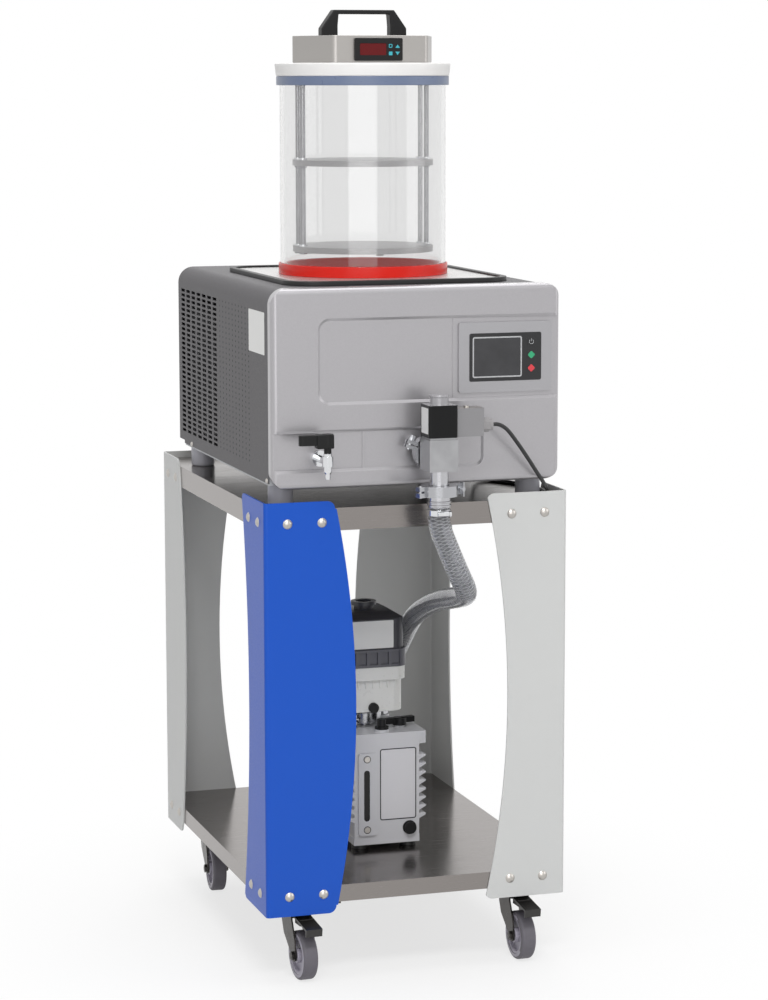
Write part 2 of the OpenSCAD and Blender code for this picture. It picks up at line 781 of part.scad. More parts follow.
module chassis_base() color("#c2c3c4") {
    w = unit_w - 2 * cover_t;
    d = rear_y - rear_notch - seam_y;
    difference() {
        translate([-w / 2, seam_y, unit_z]) cube([w, d, base_lip]);
        translate([-w / 2 + base_t, seam_y + base_t, unit_z + base_t])
            cube([w - 2 * base_t, d - 2 * base_t, base_lip]);
    }
    // Gland of the solenoid cable
    translate([172, -40, unit_z - 8]) cylinder(d = 16, h = 8 + eps);
}

module rear_panel() color("#605f60") {
    w = unit_w - 2 * cover_t;
    low = unit_z + notch_h;
    inlet_cut = [30, 22];
    translate([0, rear_y, 0]) rotate([90, 0, 0]) linear_extrude(cover_t) difference() {
        cover_profile(cover_t);
        translate([-w, cover_low - 2]) square([2 * w, low - cover_low + 2]);
        translate([150 - inlet_cut[0] / 2, low + 44 - inlet_cut[1] / 2]) square(inlet_cut);
        for (i = [-2 : 2], j = [0 : 11])
            translate([i * slot_pitch, cover_top - 62 - j * 1.5 * row_pitch]) slot(slot_l, slot_h);
    }
    translate([-w / 2, rear_y - rear_notch, low]) cube([w, rear_notch - eps, cover_t]);
}

// Appliance inlet on the rear panel, with its three pins
module mains_inlet() color("#2b2b2d") translate([150, rear_y, unit_z + notch_h + 44]) {
    difference() {
        union() {
            translate([-24, 0, -14]) cube([48, 2.5, 28]);
            translate([-14.5, -20, -10.5]) cube([29, 20 + eps, 21]);
        }
        translate([-12, -17, -8]) cube([24, 30, 16]);
    }
    for (x = [-7, 0, 7]) translate([x - 1, -18, x == 0 ? 0.5 : -3.5]) cube([2, 14, 4]);
    for (x = [-1, 1]) translate([x * 19.5, 2.5, 0]) rotate([-90, 0, 0]) cylinder(d = 6, h = 1.5);
}

// Outline of the front panel seen from the front, drawn with X across and Z up
module panel_outline(inset) translate([0, panel_low + panel_h / 2])
    round_rect(unit_w - 2 * inset, panel_h - 2 * inset, cover_r - inset);

// Plan or side section with both front edges rounded, with the face at y = 0
module nosed(w) {
    translate([-w / 2, panel_edge]) square([w, panel_d - panel_edge]);
    translate([-w / 2 + panel_edge, 0]) square([w - 2 * panel_edge, panel_edge + 1]);
    for (x = [-1, 1]) translate([x * (w / 2 - panel_edge), panel_edge]) circle(panel_edge);
}

module front_panel() color("#b3b3b7") difference() {
    intersection() {
        translate([0, seam_y, 0]) rotate([90, 0, 0]) linear_extrude(panel_d) panel_outline(0);
        translate([0, front_y, panel_low]) linear_extrude(panel_h) nosed(unit_w);
        translate([-unit_w / 2, front_y, panel_low + panel_h / 2])
            rotate([0, 90, 0]) linear_extrude(unit_w) nosed(panel_h);
    }
    translate([0, seam_y + 1, 0]) rotate([90, 0, 0])
        linear_extrude(panel_d + 1 - recess_t - panel_wall) panel_outline(panel_wall);
    // Wide recess, open on the right, with a groove beside the controls
    translate([recess_x + unit_w / 2, front_y - 1, (recess_top + recess_low) / 2])
        face_plate(unit_w, recess_h, 14, recess_t + 1);
    translate([recess_x + field_w, front_y, recess_low]) cube([2, recess_t + 1, recess_h]);
    // Low recess, open on the left, in two parts with a rib between them
    difference() {
        translate([low_recess_x + low_recess_w / 2 - 10, front_y - 1, low_recess_z + low_recess_h / 2])
            face_plate(low_recess_w + 20, low_recess_h, 10, recess_t + 1);
        translate([low_recess_x + 139, front_y + 1, low_recess_z]) cube([3, recess_t, low_recess_h]);
    }
    // Holes for the tap and the vacuum port
    translate([tap_x, seam_y, tap_z]) rotate([90, 0, 0]) cylinder(d = 12.4, h = panel_d + 1);
    translate([valve_x, seam_y, valve_z]) rotate([90, 0, 0]) cylinder(d = stub_d + 1, h = panel_d + 1);
}

module unit_feet() color("#c3bfd0")
    for (x = [-1, 1], y = [foot_front, foot_rear])
        translate([x * (unit_w / 2 - foot_inset), y, upper_z]) rotate_extrude()
            polygon([[0, 0], [foot_d / 2 - 2, 0], [foot_d / 2, 2], [foot_d / 2, foot_h - 4],
                [foot_d / 2 - 1, foot_h], [0, foot_h]]);

module control_panel() {
    color("#b9babb") difference() {
        translate([frame_x, face_back - frame_t, frame_z]) face_plate(frame_w, frame_h, 4, frame_t);
        translate([frame_x, face_back - frame_t - 1, frame_z]) face_plate(membrane_w, membrane_h, 3, 2);
    }
    color("#202124") difference() {
        translate([frame_x, face_back - frame_t - 0.5, frame_z]) face_plate(membrane_w, membrane_h, 3, 1.5);
        translate([frame_x - 13, face_back - frame_t - 1, frame_z]) face_plate(screen_w, screen_h, 2, 1.5);
    }
    for (k = [[22, "#c9cbcc"], [2, "#3fa535"], [-18, "#c0392b"]])
        color(k[1]) translate([frame_x + 41, face_back - frame_t - 1, frame_z + k[0]])
            face_plate(13, 12, 3, 0.6);
}

module panel_screen() color("#141a26")
    translate([frame_x - 13, face_back - frame_t - 0.6, frame_z]) face_plate(screen_w, screen_h, 2, 1.1);

// Top plate and condenser ----------------------------------------------

module plate_shape(inset) round_rect(plate_top_w - 2 * inset, plate_top_d - 2 * inset, plate_top_r - inset);

module top_plate() color("#b4b4b2") difference() {
    translate([0, plate_mid_y, plate_z]) linear_extrude(plate_top_t) plate_shape(edge_w - plate_seat);
    translate([0, chamber_y, plate_z - 1]) cylinder(d = well_d - 2 * well_t, h = plate_top_t + 2);
}

// Rubber edge with a groove that holds the rim of the plate
module top_gasket() color("#1f1f20") translate([0, plate_mid_y, 0]) {
    translate([0, 0, cover_top]) linear_extrude(edge_h) difference() {
        plate_shape(0);
        plate_shape(edge_w - plate_seat);
    }
    for (z = [[cover_top, plate_z], [plate_face, edge_top]])
        translate([0, 0, z[0]]) linear_extrude(z[1] - z[0]) difference() {
            plate_shape(edge_w - plate_seat - 1);
            plate_shape(edge_w);
        }
}

// Open pot that hangs by its flange in the cover
module condenser_well() color("#a5a6a6") translate([0, chamber_y, plate_z - well_h]) rotate_extrude()
    polygon([[0, 0], [well_d / 2, 0], [well_d / 2, well_h - 2], [well_d / 2 + 15, well_h - 2],
        [well_d / 2 + 15, well_h], [well_d / 2 - well_t, well_h], [well_d / 2 - well_t, well_t], [0, well_t]]);

// Refrigerant tube wound inside the well, with both ends led down through its floor
module evaporator_coil() color("#b5b6b4") {
    r = well_d / 2 - 15;
    floor_z = plate_z - well_h + well_t;
    steps = 24;
    last = coil_turns * steps;
    rise = coil_rise / steps;
    skin([for (i = [0 : last]) let (a = 360 * i / steps, out = [cos(a), sin(a), 0],
            t = unit([-sin(a) * r * 2 * PI / steps, cos(a) * r * 2 * PI / steps, rise]), up = cross(t, out))
        [for (k = [0 : 7]) [0, chamber_y, floor_z + 22 + i * rise] + r * out
            + coil_tube / 2 * (sin(45 * k) * up + cos(45 * k) * out)]]);
    for (z = [22, 22 + coil_turns * coil_rise]) translate([r, chamber_y + (z > 30 ? 2 : -2), floor_z])
        cylinder(d = coil_tube - 1, h = z);
}

comp_x = 85;
comp_y = 182;

module compressor() color("#26282b") translate([comp_x, comp_y, unit_z + base_t]) {
    c = comp_d / 138;
    rotate_extrude() polygon(c * [[0, 14], [58, 14], [66, 26], [66, 80], [69, 82], [69, 88], [66, 90],
        [66, 128], [54, 148], [30, 156], [0, 158]]);
    translate(c * [-60, -60, 8]) cube([c * 120, c * 120, c * 6 + eps]);
    for (x = [-1, 1], y = [-1, 1]) translate([c * x * 50, c * y * 50, 0]) cylinder(d = c * 18, h = c * 9);
}

hx_y = rear_y - rear_notch - base_t - 4 - hx_d / 2;
hx_z = unit_z + base_t;
fan_z = hx_z + 120;
fan_shaft = 6;

// Finned condenser of the refrigerating circuit, with the fan's shroud and motor
module heat_exchanger() color("#9b9c9b") translate([-unit_w / 2 + cover_t + 8, hx_y, hx_z]) {
    for (y = [-1, 1]) translate([0, y * (hx_d / 2 - 1) - 1, 0]) cube([38, 2, hx_h]);
    for (i = [1 : 15]) translate([1, -hx_d / 2 + i * hx_d / 16, 3]) cube([34, 0.8, hx_h - 6]);
    for (x = [10, 26], j = [0 : 7]) translate([x, hx_d / 2, 16 + j * 27]) rotate([90, 0, 0])
        cylinder(d = 9, h = hx_d);
    // Shroud with the fan's opening, and the motor on its bar
    difference() {
        translate([38, -hx_d / 2, 0]) cube([2, hx_d, hx_h]);
        translate([37, 0, fan_z - hx_z]) rotate([0, 90, 0]) cylinder(d = fan_d + 18, h = 4);
    }
    translate([78, -8, 0]) cube([3, 16, fan_z - hx_z]);
    translate([78, 0, fan_z - hx_z]) rotate([0, 90, 0]) cylinder(d = 58, h = 32);
    translate([44, 0, fan_z - hx_z]) rotate([0, 90, 0]) cylinder(d = fan_shaft, h = 40);
}

module fan_rotor() color("#3b3d40")
    translate([-unit_w / 2 + cover_t + 54, hx_y, fan_z]) rotate([0, 90, 0]) difference() {
        union() {
            translate([0, 0, 0]) cylinder(d = 40, h = 18);
            for (i = [0 : 4]) rotate([0, 0, 72 * i]) translate([14, -fan_d / 7, 9])
                rotate([24, 0, 0]) cube([fan_d / 2 - 14, fan_d / 3.5, 1.6]);
        }
        translate([0, 0, -1]) cylinder(d = fan_shaft + 2 * pin_gap, h = 22);
    }

// Drying chamber --------------------------------------------------------

// Rubber ring with a groove for the cylinder's edge, with its floor at z = 0
module seal_ring(h, lip) rotate_extrude() {
    inner = cyl_d / 2 - cyl_t;
    translate([inner - seal_inner, 0]) square([cyl_t + seal_inner + lip, seal_floor]);
    translate([inner - seal_inner, 0]) square([seal_inner - seal_gap, h]);
    translate([cyl_d / 2 + seal_gap, 0]) square([lip - seal_gap, h]);
}

module base_seal() color("#cf3a2b") translate([0, chamber_y, plate_face]) seal_ring(base_seal_h, seal_lip);

module clear_cylinder() color("#dfe9ee", 0.4) translate([0, chamber_y, cyl_low]) rotate_extrude()
    translate([cyl_d / 2 - cyl_t, 0]) square([cyl_t, cyl_h]);

module lid_seal() color("#7181a4") translate([0, chamber_y, lid_low]) mirror([0, 0, 1])
    seal_ring(lid_seal_h, seal_lip + 2);

// Angles of the rack rods
rod_turns = [rod_angle, 180 - rod_angle, 180 + rod_angle, -rod_angle];
rod_sink = 10;

module lid_plate() color("#eeeeec") difference() {
    r = cyl_d / 2 + lid_over;
    translate([0, chamber_y, lid_low]) rotate_extrude()
        polygon([[0, 0], [r - lid_taper - 1, 0], [r - lid_taper, 1], [r, lid_h - 3], [r - 0.8, lid_h - 0.8],
            [r - 3, lid_h], [0, lid_h]]);
    for (a = rod_turns) translate([0, chamber_y, lid_low - 1]) rotate([0, 0, a])
        translate([rod_circle, 0, 0]) cylinder(d = rod_d + 0.2, h = rod_sink + 1);
}

module rack_rods() color("#c6c7c7")
    for (a = rod_turns) translate([0, chamber_y, 0]) rotate([0, 0, a]) translate([rod_circle, 0, 0]) {
        translate([0, 0, disc_low_z - disc_t - 3]) cylinder(d = rod_d, h = lid_low + rod_sink - disc_low_z + disc_t + 3);
        for (z = [disc_low_z - disc_t - 3, disc_low_z, disc_mid_z - disc_t - 3])
            translate([0, 0, z]) cylinder(d = rod_d + 4, h = 3);
    }

module rack_discs() color("#d9dadb") translate([0, chamber_y, 0]) {
    difference() {
        for (z = [disc_low_z, disc_mid_z]) translate([0, 0, z - disc_t]) cylinder(d = disc_d, h = disc_t);
        for (a = rod_turns) rotate([0, 0, a]) translate([rod_circle, 0, disc_low_z - disc_t - 1])
            cylinder(d = rod_d + 0.1, h = disc_gap + disc_t + 2);
    }
    for (a = [0, 90, 180, 270]) rotate([0, 0, a]) translate([88, 0, disc_low_z - disc_t - 3])
        cylinder(d = 12, h = 3 + eps);
}

// Lid fittings -----------------------------------------------------------

housing_r = 9;

module housing_shape(inset) offset(r = housing_r - inset) offset(delta = -housing_r)
    polygon([[-housing_front, -housing_half_d], [housing_front, -housing_half_d], [housing_side, 0],
        [housing_front, housing_half_d], [-housing_front, housing_half_d], [-housing_side, 0]]);

bezel_x = -4.5;
bezel_z = lid_top + 20;
housing_face = chamber_y - housing_half_d;

module lid_housing() color("#c0c1c1") difference() {
    translate([0, chamber_y, lid_top]) linear_extrude(housing_h) housing_shape(0);
    translate([0, chamber_y, lid_top - 1]) linear_extrude(housing_h - housing_t + 1) housing_shape(housing_t);
    translate([bezel_x - bezel_w / 2 + 3, housing_face - 1, bezel_z - bezel_h / 2 + 3])
        cube([bezel_w - 6, housing_t + 2, bezel_h - 6]);
}

module lid_controller() color("#1b1c1f") {
    difference() {
        translate([bezel_x, housing_face - 5, bezel_z]) face_plate(bezel_w, bezel_h, 2, 5);
        translate([bezel_x - 9, housing_face - 6, bezel_z]) face_plate(42, 18, 2, 2);
    }
    translate([bezel_x - bezel_w / 2 + 3.2, housing_face - 1, bezel_z - bezel_h / 2 + 3.2])
        cube([bezel_w - 6.4, 56, bezel_h - 6.4]);
}

module lid_handle() color("#232325") translate([0, chamber_y + handle_w / 2, lid_top + housing_h])
    rotate([90, 0, 0]) linear_extrude(handle_w) difference() {
        o = handle_l / 2;
        i = o - handle_foot;
        polygon([[-o, 0], [o, 0], [o, 12], [o - 20, handle_h], [20 - o, handle_h], [-o, 12]]);
        polygon([[-i, -1], [i, -1], [i, 16], [i - 1.5, handle_h - handle_bar],
            [1.5 - i, handle_h - handle_bar], [-i, 16]]);
    }

// Drain tap ---------------------------------------------------------------

spout_top = tap_z + 12;
spout_low = spout_top - 27;
tap_pin = 6;

module tap_body() color("#d4d5d6") {
    // Threaded shank in the panel, flange and arm
    translate([tap_x, front_y + 14, tap_z]) rotate([90, 0, 0]) cylinder(d = 12, h = 14 + tap_spout_y);
    translate([tap_x, face_back, tap_z]) rotate([90, 0, 0]) cylinder(d = 24, h = 5);
    translate([tap_x, front_y + 12, tap_z]) rotate([90, 0, 0]) cylinder(d = 20, h = 5, $fn = 6);
    translate([tap_x, spout_y, 0]) {
        translate([0, 0, spout_low]) cylinder(d = spout_d, h = spout_top - spout_low);
        translate([0, 0, spout_low + 8]) cylinder(d = spout_d + 4, h = 15);
        rotate_extrude() polygon([[0, spout_low - nozzle_l], [nozzle_d / 2 - 0.6, spout_low - nozzle_l],
            [nozzle_d / 2, spout_low - nozzle_l + 3], [nozzle_d / 2, spout_low - 3],
            [spout_d / 2, spout_low + eps], [0, spout_low + eps]]);
        translate([0, 0, spout_top - 1]) cylinder(d = tap_pin, h = 26);
    }
}

module tap_lever() color("#202022") translate([tap_x, spout_y, spout_top]) difference() {
    union() {
        translate([0, 0, 0.5]) cylinder(d = 11, h = 13);
        translate([0, 0, 12]) cylinder(d = 17, h = 17);
        translate([-lever_l - 8, -6, 13]) cube([lever_l + 8, 12, 15]);
        translate([-lever_l - 8, 0, 13]) cylinder(d = 12, h = 15);
    }
    translate([0, 0, -1]) cylinder(r = tap_pin / 2 + pin_gap, h = 26.5);
}

// Vacuum line ---------------------------------------------------------------

// Pair of clamped flanges about z = 0
module flange_pair() for (z = [-flange_t, 0]) translate([0, 0, z]) cylinder(d = flange_d, h = flange_t);

// Hinged clamp about the Z axis, with its bolt at +X
module flange_clamp() {
    difference() {
        rotate_extrude() {
            translate([flange_d / 2 + 0.3, -clamp_w / 2]) square([(clamp_d - flange_d) / 2 - 0.3, clamp_w]);
            for (z = [-clamp_w / 2, flange_t]) translate([stub_d / 2 + 1.5, z])
                square([(clamp_d - stub_d) / 2 - 1.5, clamp_w / 2 - flange_t]);
        }
        translate([flange_d / 2 - 12, -1, -clamp_w]) cube([30, 2, 2 * clamp_w]);
        translate([-flange_d / 2 - 18, -0.5, -clamp_w]) cube([30, 1, 2 * clamp_w]);
    }
    // Ears, swing bolt and wing nut
    difference() {
        for (y = [1, -6]) translate([clamp_d / 2 - 3, y, -clamp_w / 2]) cube([17, 5, clamp_w]);
        translate([clamp_d / 2 + 4, -7, -3]) cube([11, 14, 6]);
    }
    translate([clamp_d / 2 + 8, 8, 0]) rotate([90, 0, 0]) cylinder(d = 6, h = 22);
    translate([clamp_d / 2 + 8, -6, 0]) rotate([90, 0, 0]) cylinder(d = 10, h = 5);
    translate([clamp_d / 2 + 7, -14, -11]) cube([2, 8, 22]);
    // Hinge
    difference() {
        translate([-clamp_d / 2 - 12, -5, -clamp_w / 2]) cube([15, 10, clamp_w]);
        translate([-clamp_d / 2 - 13, -6, -1.5]) cube([10, 12, 3]);
    }
    translate([-clamp_d / 2 - 7, 0, -clamp_w / 2 - 1]) cylinder(d = 5, h = clamp_w + 2);
}

module port_joint_at() translate([valve_x, port_joint, valve_z]) rotate([90, 0, 0]) children();
module outlet_joint_at() translate([valve_x, block_y, outlet_joint]) children();
module inlet_joint_at() translate([inlet_x, inlet_y, inlet_joint]) children();
module filter_joint_at() translate([filter_x, filter_y, outlet_seat]) children();

module valve_block() color("#c9cacb") {
    difference() {
        translate([valve_x - block_w / 2, block_y - block_d / 2, block_low]) cube([block_w, block_d, block_h]);
        for (z = [block_low - 1, block_low + block_h - 5]) for (x = [-1, 1], y = [-1, 1])
            translate([valve_x + x * 17, block_y + y * 18, z]) cylinder(d = 4, h = 6);
    }
    translate([valve_x - coil_w / 2 + 2, block_y - block_d / 2 + 3, block_low + block_h - 1])
        cube([coil_w - 4, block_d - 6, coil_low - block_low - block_h + 1]);
}

module valve_coil() color("#1d1d1f") {
    translate([valve_x, block_y, coil_low]) linear_extrude(coil_h) round_rect(coil_w, coil_w, 3);
    translate([valve_x, block_y, coil_low + coil_h - eps]) cylinder(d = coil_nut_d - 2, h = 11);
    translate([valve_x, block_y, coil_low + coil_h + 11 - 2 * eps]) cylinder(d = coil_nut_d, h = 3);
}

module valve_plug() color("#8d8e90") {
    translate([plug_x, block_y - 14.5, plug_z - 22]) cube([plug_l, 29, 42]);
    translate([plug_x + plug_l - eps, block_y, gland_z]) rotate([0, 90, 0]) cylinder(d = 22, h = gland_l - 5, $fn = 6);
    translate([plug_x + plug_l + gland_l - 6, block_y, gland_z]) rotate([0, 90, 0]) cylinder(d = 17, h = 6);
    translate([plug_x + 20, block_y, plug_z + 20 - eps]) cylinder(d = 8, h = 2.5);
}

module valve_cable() color("#1b1b1b") tube_along(CABLE, cable_d / 2, 8);

// Stub pipes, flanges and hose nozzles
module vacuum_fittings() color("#c4c5c6") {
    port_joint_at() {
        flange_pair();
        translate([0, 0, -34]) cylinder(d = stub_d, h = 34 + port_joint - front_y + block_gap);
        translate([0, 0, port_joint - face_back]) cylinder(d = stub_d + 10, h = 4);
    }
    outlet_joint_at() {
        flange_pair();
        translate([0, 0, -8]) cylinder(d = stub_d, h = block_low - outlet_joint + 8);
        translate([0, 0, hose_start - outlet_joint]) cylinder(d = hose_d + 1, h = outlet_joint - hose_start - 9);
    }
    inlet_joint_at() {
        flange_pair();
        translate([0, 0, body_top - 6 - inlet_joint]) cylinder(d = stub_d, h = inlet_joint - body_top + 6);
        cylinder(d = stub_d, h = 12);
        translate([0, 0, 9]) cylinder(d = hose_d + 1, h = hose_end - inlet_joint - 9);
    }
    filter_joint_at() {
        translate([0, 0, -flange_t]) cylinder(d = flange_d, h = flange_t);
        translate([0, 0, body_top - outlet_seat]) cylinder(d = stub_d, h = outlet_seat - body_top);
    }
}

module pipe_clamps() color("#b9babb") {
    port_joint_at() rotate([0, 0, 160]) flange_clamp();
    outlet_joint_at() rotate([0, 0, 20]) flange_clamp();
    inlet_joint_at() rotate([0, 0, -60]) flange_clamp();
    filter_joint_at() rotate([0, 0, 230]) flange_clamp();
}

module vacuum_hose() color("#cfd6d6", 0.6) tube_along(HOSE, hose_d / 2, 12);

// Vacuum pump -----------------------------------------------------------------

module pump_body() color("#b9babb") {
    w = box_w + 2 * fin_l;
    // Base casting
    translate([pump_x - 54, pump_front, pump_z]) cube([108, motor_y + 100 - pump_front, base_h]);
    // Oil box with its fins and its lid
    translate([pump_x - box_w / 2, pump_front, body_z]) cube([box_w, box_d, box_h]);
    translate([pump_x - w / 2, pump_front, body_top - lid_strip]) cube([w, box_d, lid_strip]);
    for (x = [0, 1], i = [0 : fin_count - 1])
        translate([pump_x, pump_front + box_d, body_z + 28 + i * fin_pitch]) mirror([x, 0, 0])
            rotate([90, 0, 0]) linear_extrude(box_d)
                polygon([[box_w / 2 - 1, -4], [w / 2, 2.5], [w / 2, 5], [box_w / 2 - 1, 5]]);
    // Stator housing, with the inlet on its top, and the motor's flange
    translate([pump_x - 52, stator_y - eps, body_z]) cube([104, stator_d - 14, box_h - 12]);
    translate([inlet_x, inlet_y, body_top - 20]) cylinder(d = stub_d + 4, h = 14);
    translate([pump_x, motor_y, motor_z]) rotate([90, 0, 0]) cylinder(d = motor_d + 6, h = 15);
    // Bosses of the filler and the gas ballast
    translate([gb_x, gb_y, body_top - eps]) cylinder(d = 16, h = 3);
    translate([gb_x, gb_y, body_top]) cylinder(d = gb_pin, h = 13);
    translate([5, pump_front + 16, body_top - eps]) cylinder(d = 24, h = 4);
}

gb_x = 42;
gb_y = pump_front + 40;
gb_pin = 6;

module gas_ballast_knob() color("#1e1e20") translate([gb_x, gb_y, body_top + 3.5]) difference() {
    union() {
        cylinder(d = 22, h = 11);
        rotate([0, 0, 12]) translate([-25, -5, 3]) cube([50, 10, 9]);
    }
    translate([0, 0, -1]) cylinder(r = gb_pin / 2 + pin_gap, h = 11);
}

box_top = motor_z + motor_d / 2 + 26;
box_mid = motor_y + 70;
rocker = [16, 24];

module pump_motor() color("#a9aaac") {
    translate([pump_x, motor_y + motor_l - 22, motor_z]) rotate([90, 0, 0])
        cylinder(d = motor_d, h = motor_l - 22);
    for (i = [0 : 23]) translate([pump_x, motor_y + 8, motor_z]) rotate([0, 15 * i, 0])
        translate([-1.2, 0, motor_d / 2 - 1]) cube([2.4, motor_l - 36, 6]);
    // Fan cowl
    translate([pump_x, motor_y + motor_l, motor_z]) rotate([90, 0, 0]) cylinder(d = motor_d + 8, h = 30);
    // Terminal box, open for the switch and the mains inlet
    difference() {
        translate([pump_x - 42, box_mid - 45, motor_z + motor_d / 2 - 14]) cube([84, 90, box_top - motor_z - motor_d / 2 + 14]);
        translate([pump_x - rocker[0] / 2 - 0.5, box_mid - rocker[1] / 2 - 0.5, box_top - 14])
            cube([rocker[0] + 1, rocker[1] + 1, 20]);
        translate([pump_x + 26, box_mid - 12, box_top - 27]) cube([20, 24, 16]);
    }
    translate([pump_x - rocker[0] / 2 - 1, box_mid, box_top - 6]) rotate([0, 90, 0])
        cylinder(d = 3, h = rocker[0] + 2);
}

// Rocker that tips about a pin across the terminal box
module pump_switch() color("#151516") translate([pump_x - rocker[0] / 2, box_mid, box_top - 6])
    rotate([7, 0, 0]) difference() {
        translate([0, -rocker[1] / 2 + 1, -3]) cube([rocker[0], rocker[1] - 2, 9]);
        translate([-1, 0, 0]) rotate([0, 90, 0]) cylinder(r = 1.5 + pin_gap, h = rocker[0] + 2);
    }

module pump_feet() color("#1c1c1c")
    for (x = [-1, 1], y = [pump_front + 18, motor_y + 84])
        translate([pump_x + x * 40, y, lower_z]) cylinder(d = 26, h = rubber_h);

module pump_plugs() color("#1a1a1c") {
    // Filler plug on the top and drain plug on the front
    translate([5, pump_front + 16, body_top + 4]) {
        cylinder(d = plug_d, h = 4);
        translate([0, 0, 4 - eps]) cylinder(d = plug_d - 8, h = 12);
    }
    translate([pump_x + 37, pump_front, body_z + 12]) rotate([90, 0, 0]) {
        cylinder(d = plug_d, h = 4);
        translate([0, 0, 4 - eps]) cylinder(d = plug_d - 3, h = 5);
    }
}

// Sight glass of the oil box, in its screwed frame
module oil_window() color("#2b2c2f") {
    wx = pump_x - box_w / 2 + window_w / 2 + 6;
    wz = body_z + 70;
    difference() {
        translate([wx, pump_front - 4, wz]) face_plate(window_w, window_h, 5, 4);
        translate([wx - 1.5, pump_front - 5, wz - 2]) face_plate(9.5, 0.62 * window_h, 4.6, 3.5);
    }
    translate([wx - 1.5, pump_front - 3, wz - 2]) face_plate(9.1, 0.62 * window_h - 0.4, 4.4, 2);
    for (z = [-1, 1]) translate([wx - 1, pump_front - 5.5, wz + z * 0.43 * window_h])
        rotate([-90, 0, 0]) cylinder(d = 9, h = 2);
}

// Mist filter -------------------------------------------------------------------

module filter_shape(half) round_rect(2 * half, 2 * half, filter_r);

module filter_bowl() color("#d3d3d1", 0.8) translate([filter_x, filter_y, 0]) {
    difference() {
        union() {
            translate([0, 0, bowl_z]) linear_extrude(bowl_h - 21) filter_shape(cap_half - 2.5);
            translate([0, 0, bowl_z + bowl_h - 21]) linear_extrude(21) filter_shape(cap_half + 2);
        }
        translate([0, 0, bowl_z + 4]) linear_extrude(bowl_h) round_rect(2 * cap_half - 13, 2 * cap_half - 13, 14);
    }
    translate([0, 0, outlet_seat]) cylinder(d = flange_d, h = flange_t);
    translate([0, 0, outlet_seat]) cylinder(d = stub_d, h = bowl_z - outlet_seat + eps);
    translate([0, 4 - cap_half, bowl_z + 7]) rotate([90, 0, 0]) cylinder(d = 16, h = 8);
}

// Side section of the cap's shoulder
module shoulder_section() polygon([[-cap_half, -1], [cap_half, -1], [cap_half, 0], [35, shoulder_h],
    [-35, shoulder_h], [-cap_half, 0]]);

module filter_cap() color("#49494c") translate([filter_x, filter_y, 0]) {
    // Ribbed clamp ring
    difference() {
        translate([0, 0, ring_z]) linear_extrude(ring_h) filter_shape(cap_half + 3);
        for (a = [0, 90, 180, 270], i = [-2 : 2]) rotate([0, 0, a])
            translate([18 * i - 6.5, -cap_half - 4, ring_z + 4]) cube([13, 4.5, ring_h - 8]);
    }
    translate([0, 0, cap_z - eps]) linear_extrude(cap_h + 2 * eps) filter_shape(cap_half);
    intersection() {
        translate([0, 0, shoulder_z - 0.5]) linear_extrude(shoulder_h + 1) filter_shape(cap_half);
        translate([0, cap_half, shoulder_z]) rotate([90, 0, 0]) linear_extrude(2 * cap_half) shoulder_section();
        translate([-cap_half, 0, shoulder_z]) rotate([90, 0, 90]) linear_extrude(2 * cap_half) shoulder_section();
    }
    difference() {
        union() {
            translate([0, 0, spigot_z - eps]) cylinder(d = 30, h = spigot_h - 5);
            translate([0, 0, spigot_z + spigot_h - 6]) cylinder(d = flange_d, h = 6);
        }
        translate([0, 0, spigot_z + 1]) cylinder(d = 25, h = spigot_h + 1);
    }
}

post_front_left();
post_front_right();
post_rear_left();
post_rear_right();
upper_shelf();
lower_shelf();
post_bolts();
castor_plates();
castor_fork_front_left();
castor_fork_front_right();
castor_fork_rear_left();
castor_fork_rear_right();
castor_wheel_front_left();
castor_wheel_front_right();
castor_wheel_rear_left();
castor_wheel_rear_right();
brake_pedal_front_left();
brake_pedal_front_right();
chassis_base();
housing_cover();
rear_panel();
front_panel();
top_plate();
top_gasket();
unit_feet();
control_panel();
panel_screen();
mains_inlet();
condenser_well();
evaporator_coil();
compressor();
heat_exchanger();
fan_rotor();
base_seal();
clear_cylinder();
lid_seal();
lid_plate();
lid_housing();
lid_controller();
lid_handle();
rack_rods();
rack_discs();
tap_body();
tap_lever();
valve_block();
valve_coil();
valve_plug();
valve_cable();
vacuum_fittings();
pipe_clamps();
vacuum_hose();
pump_body();
pump_motor();
pump_feet();
pump_plugs();
oil_window();
filter_bowl();
filter_cap();
gas_ballast_knob();
pump_switch();
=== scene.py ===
import json
import math

import bmesh
import bpy
from mathutils import Matrix, Vector


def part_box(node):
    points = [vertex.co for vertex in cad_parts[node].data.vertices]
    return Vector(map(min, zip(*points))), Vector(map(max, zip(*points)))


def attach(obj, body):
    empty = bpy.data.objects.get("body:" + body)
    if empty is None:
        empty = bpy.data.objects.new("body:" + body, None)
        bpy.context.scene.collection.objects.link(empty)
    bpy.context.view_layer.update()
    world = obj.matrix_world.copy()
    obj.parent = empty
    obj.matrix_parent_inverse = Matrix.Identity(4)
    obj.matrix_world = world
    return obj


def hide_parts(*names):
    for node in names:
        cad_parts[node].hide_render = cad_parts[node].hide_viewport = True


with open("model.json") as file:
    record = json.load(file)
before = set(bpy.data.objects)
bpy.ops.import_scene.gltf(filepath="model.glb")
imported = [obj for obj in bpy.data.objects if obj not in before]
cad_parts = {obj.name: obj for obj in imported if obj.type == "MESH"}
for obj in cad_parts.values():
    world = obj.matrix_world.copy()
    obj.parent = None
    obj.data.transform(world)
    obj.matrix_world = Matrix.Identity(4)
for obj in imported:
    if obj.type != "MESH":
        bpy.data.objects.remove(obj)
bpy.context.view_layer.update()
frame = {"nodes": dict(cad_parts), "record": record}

scene = bpy.context.scene
mm = 0.001


# small helpers

